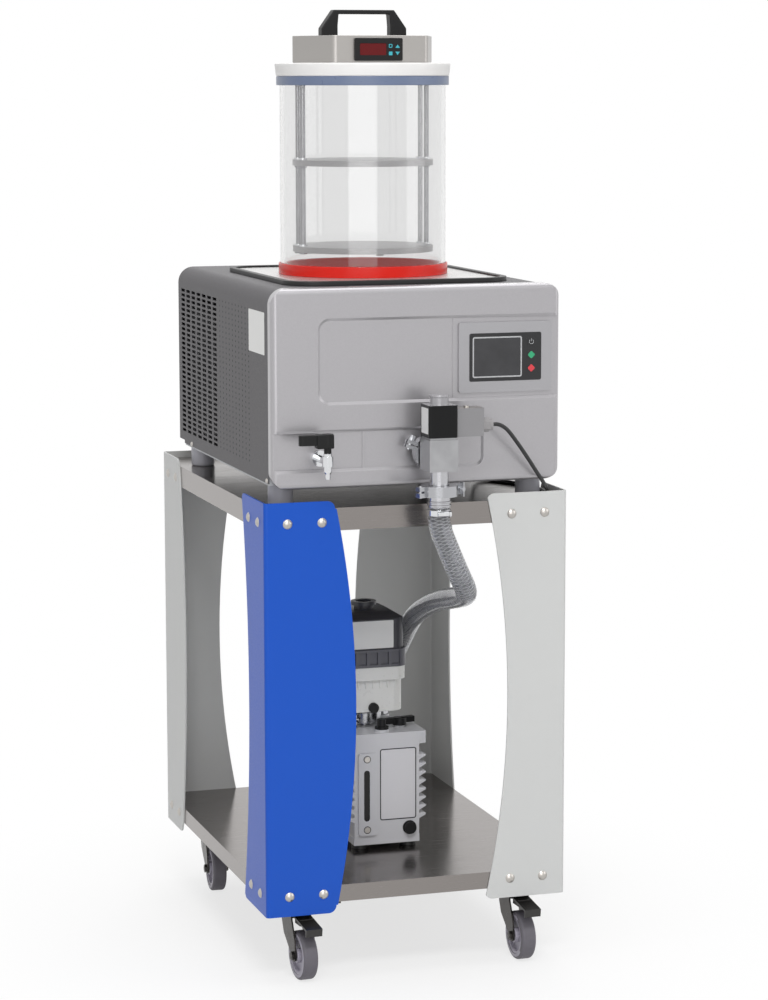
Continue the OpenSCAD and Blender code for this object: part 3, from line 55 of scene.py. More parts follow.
def toLinear(hexColour):
    channels = [int(hexColour[i:i + 2], 16) / 255 for i in (1, 3, 5)]
    return tuple(c / 12.92 if c <= 0.04045 else ((c + 0.055) / 1.055) ** 2.4 for c in channels) + (1.0,)


def addNode(tree, kind, settings=None, inputs=None):
    node = tree.nodes.new(kind)
    for key, value in (settings or {}).items():
        setattr(node, key, value)
    for key, value in (inputs or {}).items():
        if isinstance(value, bpy.types.NodeSocket):
            tree.links.new(value, node.inputs[key])
        else:
            node.inputs[key].default_value = value
    return node


def newMaterial(name, colour, roughness, metallic=0.0, **sockets):
    # sockets are given in camel case, such as coatWeight for Coat Weight
    material = bpy.data.materials.new(name)
    material.use_nodes = True
    shader = material.node_tree.nodes["Principled BSDF"]
    shader.inputs["Base Color"].default_value = toLinear(colour)
    shader.inputs["Roughness"].default_value = roughness
    shader.inputs["Metallic"].default_value = metallic
    for key, value in sockets.items():
        words = "".join(" " + c if c.isupper() else c for c in key)
        label = words[0].upper() + words[1:]
        label = label.replace("Ior", "IOR")
        shader.inputs[label].default_value = value
    return material, material.node_tree, shader


def addGrain(tree, shader, size, depth, stretch=(1, 1, 1), detail=2.0, roughness=None, colours=None):
    # a noise on the object's own coordinates: size is the grain in mm, depth its bump in mm
    place = addNode(tree, "ShaderNodeTexCoord")
    mapping = addNode(tree, "ShaderNodeMapping", inputs={"Vector": place.outputs["Object"], "Scale": stretch})
    noise = addNode(tree, "ShaderNodeTexNoise", inputs={
        "Vector": mapping.outputs["Vector"], "Scale": 1 / (size * mm), "Detail": detail, "Roughness": 0.55})
    if depth:
        bump = addNode(tree, "ShaderNodeBump", inputs={
            "Height": noise.outputs["Fac"], "Distance": depth * mm, "Strength": 1.0})
        tree.links.new(bump.outputs["Normal"], shader.inputs["Normal"])
    if roughness:
        spread = addNode(tree, "ShaderNodeMapRange", inputs={
            "Value": noise.outputs["Fac"], "From Min": 0.3, "From Max": 0.7,
            "To Min": roughness[0], "To Max": roughness[1]})
        tree.links.new(spread.outputs["Result"], shader.inputs["Roughness"])
    if colours:
        ramp = addNode(tree, "ShaderNodeValToRGB", inputs={"Fac": noise.outputs["Fac"]})
        ramp.color_ramp.elements[0].position = 0.35
        ramp.color_ramp.elements[1].position = 0.65
        ramp.color_ramp.elements[0].color = toLinear(colours[0])
        ramp.color_ramp.elements[1].color = toLinear(colours[1])
        tree.links.new(ramp.outputs["Color"], shader.inputs["Base Color"])
    return noise


def finishPiece(name, source, body, material, angle=35, replaced=None):
    # source is a bmesh or a mesh. The object stays at the origin with its place in its mesh
    if isinstance(source, bmesh.types.BMesh):
        mesh = bpy.data.meshes.new(name)
        source.to_mesh(mesh)
        source.free()
    else:
        mesh = source
    piece = bpy.data.objects.new(name, mesh)
    scene.collection.objects.link(piece)
    for m in material if isinstance(material, (list, tuple)) else [material]:
        mesh.materials.append(m)
    mesh.shade_smooth()
    mesh.set_sharp_from_angle(angle=math.radians(angle))
    even = piece.modifiers.new("evenNormals", "WEIGHTED_NORMAL")
    even.keep_sharp = True
    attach(piece, body)
    if replaced:
        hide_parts(replaced)
    return piece


def bevelEdges(bm, width, segments=2, angle=35, edges=None):
    chosen = edges or [e for e in bm.edges if e.is_manifold and e.calc_face_angle(0) > math.radians(angle)]
    if chosen and width:
        bmesh.ops.bevel(bm, geom=chosen, offset=width * mm, offset_type="OFFSET", affect="EDGES",
                        segments=segments, profile=0.5, material=-1, clamp_overlap=True, loop_slide=True)


def mergedCopy(node, flatten=0.4):
    # the CAD node's triangles welded, with its flat faces made whole again
    bm = bmesh.new()
    bm.from_mesh(frame["nodes"][node].data)
    bmesh.ops.remove_doubles(bm, verts=bm.verts, dist=0.00001)
    bmesh.ops.dissolve_limit(bm, angle_limit=math.radians(flatten), verts=bm.verts, edges=bm.edges)
    return bm


nodeBody = {n: b for b, names in frame["record"]["behaviour"]["bodies"].items() for n in names}


def dress(node, material, width, segments=2, angle=35, paint=None, shift=None):
    # a CAD node's own shape with rounded edges. paint(corners, normal) picks a face's material by number,
    # and shift(place) moves a corner, in mm
    bm = mergedCopy(node)
    for vertex in bm.verts if shift else ():
        vertex.co += Vector(shift(vertex.co / mm)) * mm
    if paint:
        for face in bm.faces:
            face.material_index = paint([v.co / mm for v in face.verts], face.normal)
    bevelEdges(bm, width, segments, angle)
    return finishPiece(node + "Dressed", bm, nodeBody[node], material, replaced=node)


# camera

viewpoint = {"place": (-1.3499, -4.4107, 1.3545), "yaw": 17.46, "pitch": 8.18, "roll": 0.08, "lens": 105.79}
cameraData = bpy.data.cameras.new("viewCamera")
cameraData.lens = viewpoint["lens"]
cameraData.sensor_width = 36
camera = bpy.data.objects.new("viewCamera", cameraData)
camera.location = viewpoint["place"]
camera.rotation_euler = (math.radians(90 - viewpoint["pitch"]), math.radians(viewpoint["roll"]),
                         -math.radians(viewpoint["yaw"]))
scene.collection.objects.link(camera)
scene.camera = camera
print("camera placed")


# hose and solenoid cable

hoseSettings = {
    "outer": 33, "wall": 4, "threadRadius": 0.5, "threadDepth": 1.4, "threadPitch": 26, "starts": 5,
    "route": [(15, -339, 726.5), (15, -339, 708), (19, -340, 689), (26, -342, 670), (34, -343, 650),
              (43, -342, 630), (53, -336, 612), (62, -324, 598), (69, -304, 587), (72, -272, 578),
              (72, -232, 569), (72, -182, 558), (72, -122, 540), (72, -62, 516), (73, -12, 487),
              (72, 24, 455), (67, 45, 429), (60, 57, 409), (54, 65, 394), (51, 69, 383), (50, 70, 372)]}
cableSettings = {
    "diameter": 6,
    "route": [(97, -339, 846.5), (108, -339, 846), (122, -336, 838), (140, -329, 818), (160, -318, 794),
              (180, -306, 769), (197, -293, 749), (208, -276, 738), (217, -255, 730), (222, -230, 727),
              (222, -195, 727), (216, -155, 727), (202, -115, 727), (186, -80, 727), (176, -54, 731),
              (172, -40, 740), (172, -40, 750)]}


def smoothRoute(points, steps):
    # Catmull-Rom curve through the points, in metres
    pts = [Vector(p) * mm for p in points]
    pts = [2 * pts[0] - pts[1]] + pts + [2 * pts[-1] - pts[-2]]
    route = []
    for i in range(1, len(pts) - 2):
        a, b, c, d = pts[i - 1:i + 3]
        for k in range(steps):
            t = k / steps
            route.append(0.5 * (2 * b + (c - a) * t + (2 * a - 5 * b + 4 * c - d) * t * t
                                + (3 * b - a - 3 * c + d) * t ** 3))
    route.append(pts[-2].copy())
    return route


def curveMesh(name, route, radius, sides=4, capped=True):
    # sweeps a round section along the route and gives the mesh
    curve = bpy.data.curves.new(name + "Line", "CURVE")
    curve.dimensions = "3D"
    curve.bevel_depth = radius
    curve.bevel_resolution = sides
    curve.use_fill_caps = capped
    spline = curve.splines.new("POLY")
    spline.points.add(len(route) - 1)
    for point, place in zip(spline.points, route):
        point.co = (*place, 1)
    holder = bpy.data.objects.new(name + "Line", curve)
    scene.collection.objects.link(holder)
    mesh = bpy.data.meshes.new_from_object(holder)
    bpy.data.objects.remove(holder)
    bpy.data.curves.remove(curve)
    return mesh


def coilRoute(route, radius, pitch, hand=1, start=0.0, perTurn=14):
    # a helix about the route, carried along it without twisting. hand is 1 or -1, start a part of a turn
    lengths = [0.0]
    for a, b in zip(route, route[1:]):
        lengths.append(lengths[-1] + (b - a).length)
    side = (route[1] - route[0]).cross(Vector((0, 1, 0))).normalized()
    sides = []
    for i in range(len(route)):
        t = (route[min(i + 1, len(route) - 1)] - route[max(i - 1, 0)]).normalized()
        side = (side - side.dot(t) * t).normalized()
        sides.append((side.copy(), t.cross(side)))
    points, segment = [], 0
    for k in range(int(lengths[-1] / pitch * perTurn)):
        s = k * pitch / perTurn
        while segment < len(route) - 2 and lengths[segment + 1] < s:
            segment += 1
        f = (s - lengths[segment]) / (lengths[segment + 1] - lengths[segment])
        centre = route[segment].lerp(route[segment + 1], f)
        u = sides[segment][0].lerp(sides[segment + 1][0], f)
        v = sides[segment][1].lerp(sides[segment + 1][1], f)
        angle = 2 * math.pi * (hand * s / pitch + start)
        points.append(centre + radius * (math.cos(angle) * u + math.sin(angle) * v))
    return points


# materials

# flexible clear PVC, extruded over threads: glassy but dulled, slightly grey where it is thick
hosePlastic, tree, shader = newMaterial("clearPvcHose", "#c2c3c7", 0.1, transmissionWeight=0.9, ior=1.33,
                                        specularIorLevel=0.5)
# spun polyester threads in the hose's wall: fine white diamonds seen through the plastic
hoseThread, tree, shader = newMaterial("whitePolyesterThread", "#ececec", 0.4)
# PVC cable sheath, extruded: smooth soft black
cableSheath, tree, shader = newMaterial("blackPvcSheath", "#1c1c1d", 0.42)
addGrain(tree, shader, 3, 0.05)
# polyester powder coat, baked: even satin blue with a faint orange peel
bluePaint, tree, shader = newMaterial("bluePowderCoat", "#0a4eb8", 0.42, specularIorLevel=0.3)
addGrain(tree, shader, 2.5, 0.04, roughness=(0.33, 0.4))
# the same coat in pale grey
palePaint, tree, shader = newMaterial("palePowderCoat", "#c6c7c6", 0.42, specularIorLevel=0.4)
addGrain(tree, shader, 2.5, 0.04, roughness=(0.37, 0.45))
# textured powder coat: dark grey, matt, with a fine leathery grain
darkPaint, tree, shader = newMaterial("darkTexturedCoat", "#444245", 0.5)
addGrain(tree, shader, 1.6, 0.12, roughness=(0.46, 0.58), detail=3)
# thermoformed ABS under silver lacquer: a cloudy metallic sheen and soft highlights
silverPaint, tree, shader = newMaterial("silverLacqueredAbs", "#a7a5a8", 0.3, 0.6, coatWeight=0.45,
                                        coatRoughness=0.12)
addGrain(tree, shader, 1.6, 0.004, roughness=(0.29, 0.32), colours=("#a6a4a7", "#a9a7aa"))
# cold rolled stainless sheet, brushed: streaks along X, nearly a mirror at a low angle
shelfSteel, tree, shader = newMaterial("brushedStainlessSheet", "#8d8885", 0.2, 1.0, anisotropic=0.5)
addGrain(tree, shader, 1.2, 0.01, stretch=(0.02, 1, 1), roughness=(0.14, 0.28))
# satin stainless of the box on the lid, brushed upright
boxSteel, tree, shader = newMaterial("satinStainlessBox", "#a5a29f", 0.36, 0.95)
addGrain(tree, shader, 1.0, 0.001, stretch=(1, 1, 0.04), roughness=(0.34, 0.38))
# stainless top plate, ground: bright and nearly even
plateSteel, tree, shader = newMaterial("groundStainlessPlate", "#c8c7c6", 0.3, 0.7)
addGrain(tree, shader, 1.5, 0.01, stretch=(0.03, 1, 1), roughness=(0.25, 0.36))
# stainless domed fasteners, tumbled: dull mirror
boltSteel, tree, shader = newMaterial("tumbledStainless", "#b9b5b0", 0.3, 1.0)
addGrain(tree, shader, 4, 0.03)
# zinc plated pressings of the castors: grey, patchy
castorSteel, tree, shader = newMaterial("zincPlatedPressing", "#4c4a48", 0.3, 0.95)
addGrain(tree, shader, 9, 0.0, roughness=(0.24, 0.42), colours=("#444240", "#565351"))
# galvanised sheet of the base: soft spangle
baseSteel, tree, shader = newMaterial("galvanisedSheet", "#9fa1a3", 0.42, 0.8)
addGrain(tree, shader, 14, 0.0, roughness=(0.35, 0.5), colours=("#94969a", "#abadaf"))
# thermoplastic rubber tread, moulded: dark warm grey, matt
treadRubber, tree, shader = newMaterial("greyTreadRubber", "#625f66", 0.6)
addGrain(tree, shader, 2, 0.1)
# polypropylene hub, moulded: pale lilac grey
hubPlastic, tree, shader = newMaterial("lilacPolypropylene", "#a5a1ad", 0.4)
addGrain(tree, shader, 2, 0.05)
# polyamide foot, moulded: pale grey
footPlastic, tree, shader = newMaterial("paleGreyPolyamide", "#b4b4bc", 0.38)
addGrain(tree, shader, 2, 0.04)
# ABS, moulded with a spark-eroded grain: black, satin
blackPlastic, tree, shader = newMaterial("blackGrainedAbs", "#121213", 0.42, specularIorLevel=0.25)
addGrain(tree, shader, 1.4, 0.05, roughness=(0.38, 0.48))
# phenolic coil body, moulded: deep black with a soft sheen
coilPlastic, tree, shader = newMaterial("blackPhenolic", "#0f0f10", 0.36, specularIorLevel=0.2)
addGrain(tree, shader, 2.5, 0.03)
# EPDM edging, extruded: black with a soft gloss
blackRubber, tree, shader = newMaterial("blackEpdmRubber", "#1b1b1c", 0.45)
addGrain(tree, shader, 3, 0.06)
# polyamide plug, moulded: mid grey
greyPlastic, tree, shader = newMaterial("greyPolyamide", "#848385", 0.42)
addGrain(tree, shader, 1.6, 0.06, roughness=(0.36, 0.48))
# clear polycarbonate nut on the coil: pale and glossy, with the steel showing through
nutPlastic, tree, shader = newMaterial("clearNut", "#9c9b9e", 0.18, 0.35, coatWeight=0.6, coatRoughness=0.05)
# polyamide gland: lighter grey
glandPlastic, tree, shader = newMaterial("lightGreyPolyamide", "#8f8d8e", 0.4)
addGrain(tree, shader, 2, 0.04)
# silicone rubber, moulded and slightly translucent: signal red
redSilicone, tree, shader = newMaterial("redSilicone", "#d01d10", 0.25, subsurfaceWeight=0.1,
                                        subsurfaceRadius=(0.008, 0.003, 0.002), subsurfaceScale=0.4,
                                        specularIorLevel=0.3)
# the seal's inner lip with a painted glow: a deep red emission stands in for the light that comes through the
# silicone
redLipPaintedGlow, tree, shader = newMaterial("redSiliconeLipPaintedGlow", "#e02418", 0.35, specularIorLevel=0.1,
                                   emissionStrength=0.3)
shader.inputs["Emission Color"].default_value = toLinear("#b01810")
# silicone rubber, moulded and slightly translucent: slate blue
blueSilicone, tree, shader = newMaterial("blueSilicone", "#67748f", 0.32, subsurfaceWeight=0.2,
                                         subsurfaceRadius=(0.003, 0.004, 0.008), subsurfaceScale=0.4)
addGrain(tree, shader, 6, 0.05, roughness=(0.27, 0.38))
# cast acrylic tube, polished: nearly invisible, with bright edges
clearAcrylic, tree, shader = newMaterial("castAcrylic", "#eeeeee", 0.03, transmissionWeight=1.0, ior=1.49)
# polyethylene lid, turned: milky white
whitePlastic, tree, shader = newMaterial("turnedPolyethylene", "#e5e4e3", 0.36, subsurfaceWeight=0.15,
                                         subsurfaceRadius=(0.006, 0.006, 0.006), subsurfaceScale=0.4)
addGrain(tree, shader, 5, 0.02, roughness=(0.32, 0.42))
# aluminium rack discs, turned and anodised: pale and satin
discMetal, tree, shader = newMaterial("anodisedAluminium", "#b0afb0", 0.34, 0.6)
addGrain(tree, shader, 3, 0.002, roughness=(0.32, 0.36))
# stainless rods of the rack, ground: mid grey with a bright line down each
rodSteel, tree, shader = newMaterial("groundRod", "#9d9d9f", 0.24, 1.0)
# stainless vacuum fittings, turned: bright, with a fine lathe grain drawn coarser than it is
turnedSteel, tree, shader = newMaterial("turnedStainless", "#b9b9bc", 0.2, 1.0)
addGrain(tree, shader, 0.9, 0.002, stretch=(0.1, 0.1, 1), roughness=(0.16, 0.24))
# chromium plate: a clean mirror
chrome, tree, shader = newMaterial("chromiumPlate", "#d9dadc", 0.08, 1.0)
addGrain(tree, shader, 12, 0.02)
# aluminium block, milled: pale, satin, with faint cutter bands
milledMetal, tree, shader = newMaterial("milledAluminium", "#a0a0a2", 0.38, 0.8)
addGrain(tree, shader, 24, 0.0, roughness=(0.34, 0.42), colours=("#9d9d9f", "#a5a5a7"))
# aluminium clamp, pressure cast and tumbled: bright and slightly uneven
castMetal, tree, shader = newMaterial("castAluminium", "#b0b1b4", 0.2, 1.0)
addGrain(tree, shader, 3, 0.015, roughness=(0.16, 0.26))
# anodised aluminium frame: an even silver satin
framePaint, tree, shader = newMaterial("anodisedFrame", "#a2a1a4", 0.35, 0.5)
addGrain(tree, shader, 2, 0.02, roughness=(0.32, 0.42))
# polyester membrane: black, fine matt
membrane, tree, shader = newMaterial("blackPolyesterMembrane", "#18181a", 0.36)
addGrain(tree, shader, 1.5, 0.02)
# unlit liquid crystal screen behind polyester: slate grey with a soft gloss
screenGlass, tree, shader = newMaterial("unlitScreen", "#1f1f22", 0.25, coatWeight=0.25, coatRoughness=0.05)
addGrain(tree, shader, 40, 0.0, colours=("#242427", "#303033"))
# enamel on cast aluminium: pale grey with the casting's pits
pumpPaint, tree, shader = newMaterial("enamelledCasting", "#c8c8cb", 0.36, coatWeight=0.2, coatRoughness=0.3)
addGrain(tree, shader, 2.2, 0.1, roughness=(0.34, 0.42), detail=3)
# polypropylene bowl, moulded: milky and slightly see-through
bowlPlastic, tree, shader = newMaterial("milkyPolypropylene", "#dadad7", 0.3, subsurfaceWeight=0.3,
                                        subsurfaceRadius=(0.01, 0.01, 0.01), subsurfaceScale=0.6)
addGrain(tree, shader, 8, 0.08, roughness=(0.26, 0.36))
# glass filled polyamide, moulded: charcoal, satin
charcoalPlastic, tree, shader = newMaterial("charcoalPolyamide", "#3a3a40", 0.4)
addGrain(tree, shader, 1.6, 0.1, roughness=(0.34, 0.48))
# the same in slate grey, for the ring between bowl and cap
slatePlastic, tree, shader = newMaterial("slatePolyamide", "#54545b", 0.4)
addGrain(tree, shader, 1.6, 0.1, roughness=(0.34, 0.48))
# enamel on drawn steel, the compressor's: black with a thick gloss
blackEnamel, tree, shader = newMaterial("blackEnamel", "#1e2022", 0.3, coatWeight=0.3)
addGrain(tree, shader, 6, 0.1)
# aluminium fin stock, rolled: grey satin
finMetal, tree, shader = newMaterial("rolledFinStock", "#8e8f90", 0.4, 0.9)
addGrain(tree, shader, 4, 0.03)
# sheet steel pedal, painted: dark and worn satin
pedalSteel, tree, shader = newMaterial("paintedPedalSteel", "#3f3e3d", 0.34, 0.7)
addGrain(tree, shader, 5, 0.01, roughness=(0.3, 0.42))
# stainless tube of the evaporator, drawn: bright and smooth
coilSteel, tree, shader = newMaterial("drawnStainlessTube", "#c0c0c0", 0.24, 1.0)
# copper tube, drawn: warm, with a slight tarnish
copper, tree, shader = newMaterial("drawnCopper", "#b87850", 0.3, 1.0)
addGrain(tree, shader, 12, 0.0, roughness=(0.24, 0.38), colours=("#b27046", "#bf825c"))
# sight glass with dark oil behind it: deep and glossy
oilGlass, tree, shader = newMaterial("oilSightGlass", "#171615", 0.25, specularIorLevel=0.3)
# printed polyester labels, left plain: white and satin
plainLabel, tree, shader = newMaterial("plainPolyesterLabel", "#dddddb", 0.35, coatWeight=0.3,
                                       coatRoughness=0.2)
# silvered label of the pump: pale and satin
plateLabel, tree, shader = newMaterial("silverPolyesterLabel", "#d2d1d4", 0.36, 0.1)
# black screen print, also used as painted shadow in rings about the oil window's screws: flat and even
blackPrintAndShadow, tree, shader = newMaterial("blackPrintAndPaintedShadow", "#232325", 0.5)
# pale grey screen print, behind the membrane
paleInk, tree, shader = newMaterial("paleGreyPrint", "#b2b3b5", 0.4)
# green and red print under a gloss membrane: clear colours with a shine
greenInk, tree, shader = newMaterial("greenPrint", "#1f9a69", 0.3, coatWeight=0.4)
redInk, tree, shader = newMaterial("redPrint", "#cf303a", 0.3, coatWeight=0.4)
# smoked red filter in front of unlit digits: nearly black, glossy
redFilter, tree, shader = newMaterial("smokedRedFilter", "#5c0a0e", 0.25, specularIorLevel=0.25)
# turquoise rubber keys, moulded: soft and matt
cyanKey, tree, shader = newMaterial("turquoiseKeyRubber", "#3aa7b5", 0.45)
# painted shade of a small punched hole: a dark disc stands in for the shaded inside of the hole
holeShadePaint, tree, shader = newMaterial("paintedHoleShade", "#242324", 0.8)
print("materials made")


# pieces that are the CAD's own shapes with rounded edges

cornerNames = ("front_left", "front_right", "rear_left", "rear_right")


def above(height):
    # the second material above a height, the first below it
    return lambda corners, normal: int(all(p.z > height for p in corners))


def within(corners, x, z, halfWidth, halfHeight):
    # whether a face lies inside a window that is given by its middle and its half sizes
    return all(abs(p.x - x) < halfWidth and abs(p.z - z) < halfHeight for p in corners)


for corner in cornerNames:
    dress("post_" + corner, bluePaint if corner == "front_left" else palePaint, 0.8)
dress("upper_shelf", shelfSteel, 1.6, 3)
dress("lower_shelf", shelfSteel, 1.6, 3)
dress("post_bolts", boltSteel, 0.4)
dress("castor_plates", castorSteel, 1.0)
print("trolley dressed")

wheelSettings = {"hubRadius": 28.6}
for corner in cornerNames:
    low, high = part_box("castor_wheel_" + corner)
    hubY, hubZ = (low.y + high.y) / 2 / mm, (low.z + high.z) / 2 / mm
    dress("castor_fork_" + corner, castorSteel, 0.8)
    dress("castor_wheel_" + corner, [hubPlastic, treadRubber], 0.8, 3, paint=lambda corners, normal: int(
        min(math.hypot(p.y - hubY, p.z - hubZ) for p in corners) > wheelSettings["hubRadius"]))
dress("brake_pedal_front_left", pedalSteel, 1.4, 3)
dress("brake_pedal_front_right", pedalSteel, 1.4, 3)
print("castors dressed")

dress("chassis_base", baseSteel, 0.6)
dress("housing_cover", darkPaint, 0, angle=20)
dress("rear_panel", darkPaint, 0.5)

# the fascia's shallow recesses get sloping, rounded edges, as a vacuum formed sheet has them
fasciaSettings = {"front": -284, "recess": 4.5, "slope": 4, "round": 2.4}
bm = mergedCopy("front_panel")
moves = {}
for vertex in bm.verts:
    if abs(vertex.co.y / mm - fasciaSettings["front"]) < 0.1:
        walls = [f for f in vertex.link_faces if abs(f.normal.y) < 0.2 and all(
            p.co.y / mm < fasciaSettings["front"] + fasciaSettings["recess"] for p in f.verts)]
        if walls:
            out = -sum((f.normal for f in walls), Vector()).normalized()
            moves[vertex] = out * fasciaSettings["slope"] * mm
for vertex, move in moves.items():
    vertex.co += move
bm.normal_update()
bevelEdges(bm, fasciaSettings["round"], 4, 24)
finishPiece("fasciaDressed", bm, "root", silverPaint, replaced="front_panel")
print("fascia dressed", len(moves))

panelSettings = {"membrane": (137.5, 941, 57.2, 36.2)}
dress("unit_feet", footPlastic, 1.2, 3)
dress("mains_inlet", blackPlastic, 0.5)
dress("top_plate", plateSteel, 0.4)
dress("top_gasket", blackRubber, 2.2, 4)
dress("control_panel", [framePaint, membrane], 0.5,
      paint=lambda corners, normal: int(within(corners, *panelSettings["membrane"])))
dress("panel_screen", screenGlass, 0.2)
print("main unit dressed")

dress("condenser_well", turnedSteel, 0.8)
dress("evaporator_coil", coilSteel, 0, angle=60)
dress("compressor", blackEnamel, 1.5, 3)
dress("heat_exchanger", [finMetal, copper], 0, angle=30)
dress("fan_rotor", blackPlastic, 0.4)
print("cooling dressed")

sealSettings = {"axisY": -8, "paintedGlowRadius": 119.6}
# faces inside the lip's radius take the second material, the painted red glow
dress("base_seal", [redSilicone, redLipPaintedGlow], 1.2, 4, paint=lambda corners, normal: int(
    all(math.hypot(p.x, p.y - sealSettings["axisY"]) < sealSettings["paintedGlowRadius"] for p in corners)))
dress("clear_cylinder", clearAcrylic, 0.6, 3)
dress("lid_seal", blueSilicone, 1.2, 4)
dress("lid_plate", whitePlastic, 1.0, 3)
dress("lid_housing", boxSteel, 0.7, 3)
dress("lid_controller", blackPlastic, 0.6)
dress("lid_handle", blackPlastic, 1.6, 4)
dress("rack_rods", rodSteel, 0.4)
dress("rack_discs", discMetal, 0.5, 3)
print("chamber dressed")

# the tap's lever is a little shorter than its CAD node, and gets a block about its stem further down
leverSettings = {"blade": -172, "shorter": 9, "hub": (-170, -144), "hubHalf": 8, "hubDeep": 21, "below": 0.3,
                 "round": 1.6}
dress("tap_body", chrome, 0.5, 3)
dress("tap_lever", blackPlastic, 1.0, 4,
      shift=lambda p: (leverSettings["shorter"] if p.x < leverSettings["blade"] else 0, 0, 0))

valveSettings = {"nutFoot": 879.4, "glandStart": 79.4, "screwFoot": 873.2}
dress("valve_block", milledMetal, 0.7, 3)
dress("valve_coil", [coilPlastic, nutPlastic], 0.9, 3, paint=above(valveSettings["nutFoot"]))
dress("valve_plug", [greyPlastic, glandPlastic, boltSteel], 1.4, 3, paint=lambda corners, normal: (
    1 if all(p.x > valveSettings["glandStart"] for p in corners) else
    2 if all(p.z > valveSettings["screwFoot"] for p in corners) else 0))
dress("vacuum_fittings", turnedSteel, 0.6, 3)
dress("pipe_clamps", castMetal, 0.7, 3)

windowSettings = {"glass": (-25.5, 237, 4.9, 41.2), "screwX": -25, "screwMiddle": 239, "screwReach": 56.8,
                  "screwRadius": 4.7}
filterSettings = {"plug": (-5, 371, 9, 9), "plugFront": -71, "ringTop": 463.9}
dress("pump_body", pumpPaint, 1.3, 3)
dress("pump_motor", pumpPaint, 0.8)
dress("pump_feet", blackRubber, 0.8)
dress("pump_plugs", blackPlastic, 0.5)
dress("oil_window", [pumpPaint, oilGlass, boltSteel], 0.5, paint=lambda corners, normal: (
    1 if within(corners, *windowSettings["glass"]) else
    2 if all(math.hypot(p.x - windowSettings["screwX"],
                        abs(p.z - windowSettings["screwMiddle"]) - windowSettings["screwReach"])
             < windowSettings["screwRadius"] for p in corners) else 0))
dress("filter_bowl", [bowlPlastic, blackPlastic], 1.2, 3, paint=lambda corners, normal: int(
    all(p.y < filterSettings["plugFront"] for p in corners) and within(corners, *filterSettings["plug"])))
dress("filter_cap", [slatePlastic, charcoalPlastic], 1.0, 3, paint=above(filterSettings["ringTop"]))
dress("gas_ballast_knob", blackPlastic, 0.8, 3)
dress("pump_switch", blackPlastic, 0.5)
print("vacuum line dressed")


# the hose, a clear tube with two layers of crossing threads in its wall

route = smoothRoute(hoseSettings["route"], 6)
tube = finishPiece("hoseTube", curveMesh("hoseTube", route, hoseSettings["outer"] / 2 * mm, 8, False), "root",
                   hosePlastic, 80, "vacuum_hose")
wall = tube.modifiers.new("wall", "SOLIDIFY")
wall.thickness = hoseSettings["wall"] * mm
wall.offset = -1
bm = bmesh.new()
for hand in (-1, 1):
    for start in range(hoseSettings["starts"]):
        thread = coilRoute(route, (hoseSettings["outer"] / 2 - hoseSettings["threadDepth"]) * mm,
                           hoseSettings["threadPitch"] * mm, hand, start / hoseSettings["starts"])
        bm.from_mesh(curveMesh("hoseThread", thread, hoseSettings["threadRadius"] * mm, 0))
threads = finishPiece("hoseThreads", bm, "root", hoseThread, 80)
print("hose made")

route = smoothRoute(cableSettings["route"], 4)
cable = finishPiece("solenoidCable", curveMesh("solenoidCable", route, cableSettings["diameter"] / 2 * mm, 6),
                    "root", cableSheath, 80, "valve_cable")
print("cable made")


# small pieces that the CAD leaves out

def addBox(bm, low, high):
    low, high = Vector(low) * mm, Vector(high) * mm
    size = high - low
    bmesh.ops.create_cube(bm, size=1,
                          matrix=Matrix.Translation((low + high) / 2) @ Matrix.Diagonal((*size, 1)))


def addPin(bm, foot, axis, radius, length, sides=24):
    # a cylinder that stands on foot along axis
    axis = Vector(axis).normalized()
    turn = axis.to_track_quat("Z", "Y").to_matrix().to_4x4()
    middle = (Vector(foot) + axis * length / 2) * mm
    bmesh.ops.create_cone(bm, cap_ends=True, segments=sides, radius1=radius * mm, radius2=radius * mm,
                          depth=length * mm, matrix=Matrix.Translation(middle) @ turn)


def raiseFace(bm, outline, out, rim=0):
    # a face of the outline's points, raised along out. With a rim only a border of that width is raised
    face = bm.faces.new([bm.verts.new(Vector(p) * mm) for p in outline])
    bm.normal_update()
    faces = [face]
    if rim:
        inset = bmesh.ops.inset_individual(bm, faces=faces, thickness=rim * mm, use_even_offset=True)
        faces = inset["faces"]
        bmesh.ops.delete(bm, geom=[face], context="FACES_ONLY")
    raised = bmesh.ops.extrude_face_region(bm, geom=faces)["geom"]
    corners = [v for v in raised if isinstance(v, bmesh.types.BMVert)]
    bmesh.ops.translate(bm, verts=corners, vec=Vector(out) * mm)
    bmesh.ops.recalc_face_normals(bm, faces=bm.faces)


def addPlate(bm, centre, size, radius, thick, rim=0, across=(1, 0, 0), turn=0, steps=6):
    # round cornered upright plate with the middle of its back at centre, turned in its own plane
    across, up = Vector(across), Vector((0, 0, 1))
    out = across.cross(up)
    tilt = Matrix.Rotation(math.radians(turn), 3, out)
    outline = []
    for i, (a, b) in enumerate(((1, 1), (-1, 1), (-1, -1), (1, -1))):
        for k in range(steps + 1):
            angle = math.radians(90 * (i + k / steps))
            outline.append(Vector(centre) + tilt @ (
                across * (a * (size[0] / 2 - radius) + radius * math.cos(angle))
                + up * (b * (size[1] / 2 - radius) + radius * math.sin(angle))))
    raiseFace(bm, outline, out * thick, rim)


def addTurned(bm, profile, foot, axis=(0, 0, 1), steps=32):
    # spins (radius, height) points about the axis through foot
    axis = Vector(axis).normalized()
    turn = axis.to_track_quat("Z", "Y").to_matrix()
    foot = Vector(foot)
    line = [bm.verts.new((foot + turn @ Vector((r, 0, h))) * mm) for r, h in profile]
    edges = [bm.edges.new(pair) for pair in zip(line, line[1:])]
    bmesh.ops.spin(bm, geom=line + edges, cent=foot * mm, axis=axis, angle=2 * math.pi, steps=steps,
                   use_merge=True, use_duplicate=False)
    bmesh.ops.remove_doubles(bm, verts=bm.verts, dist=0.000001)
    bmesh.ops.recalc_face_normals(bm, faces=bm.faces)
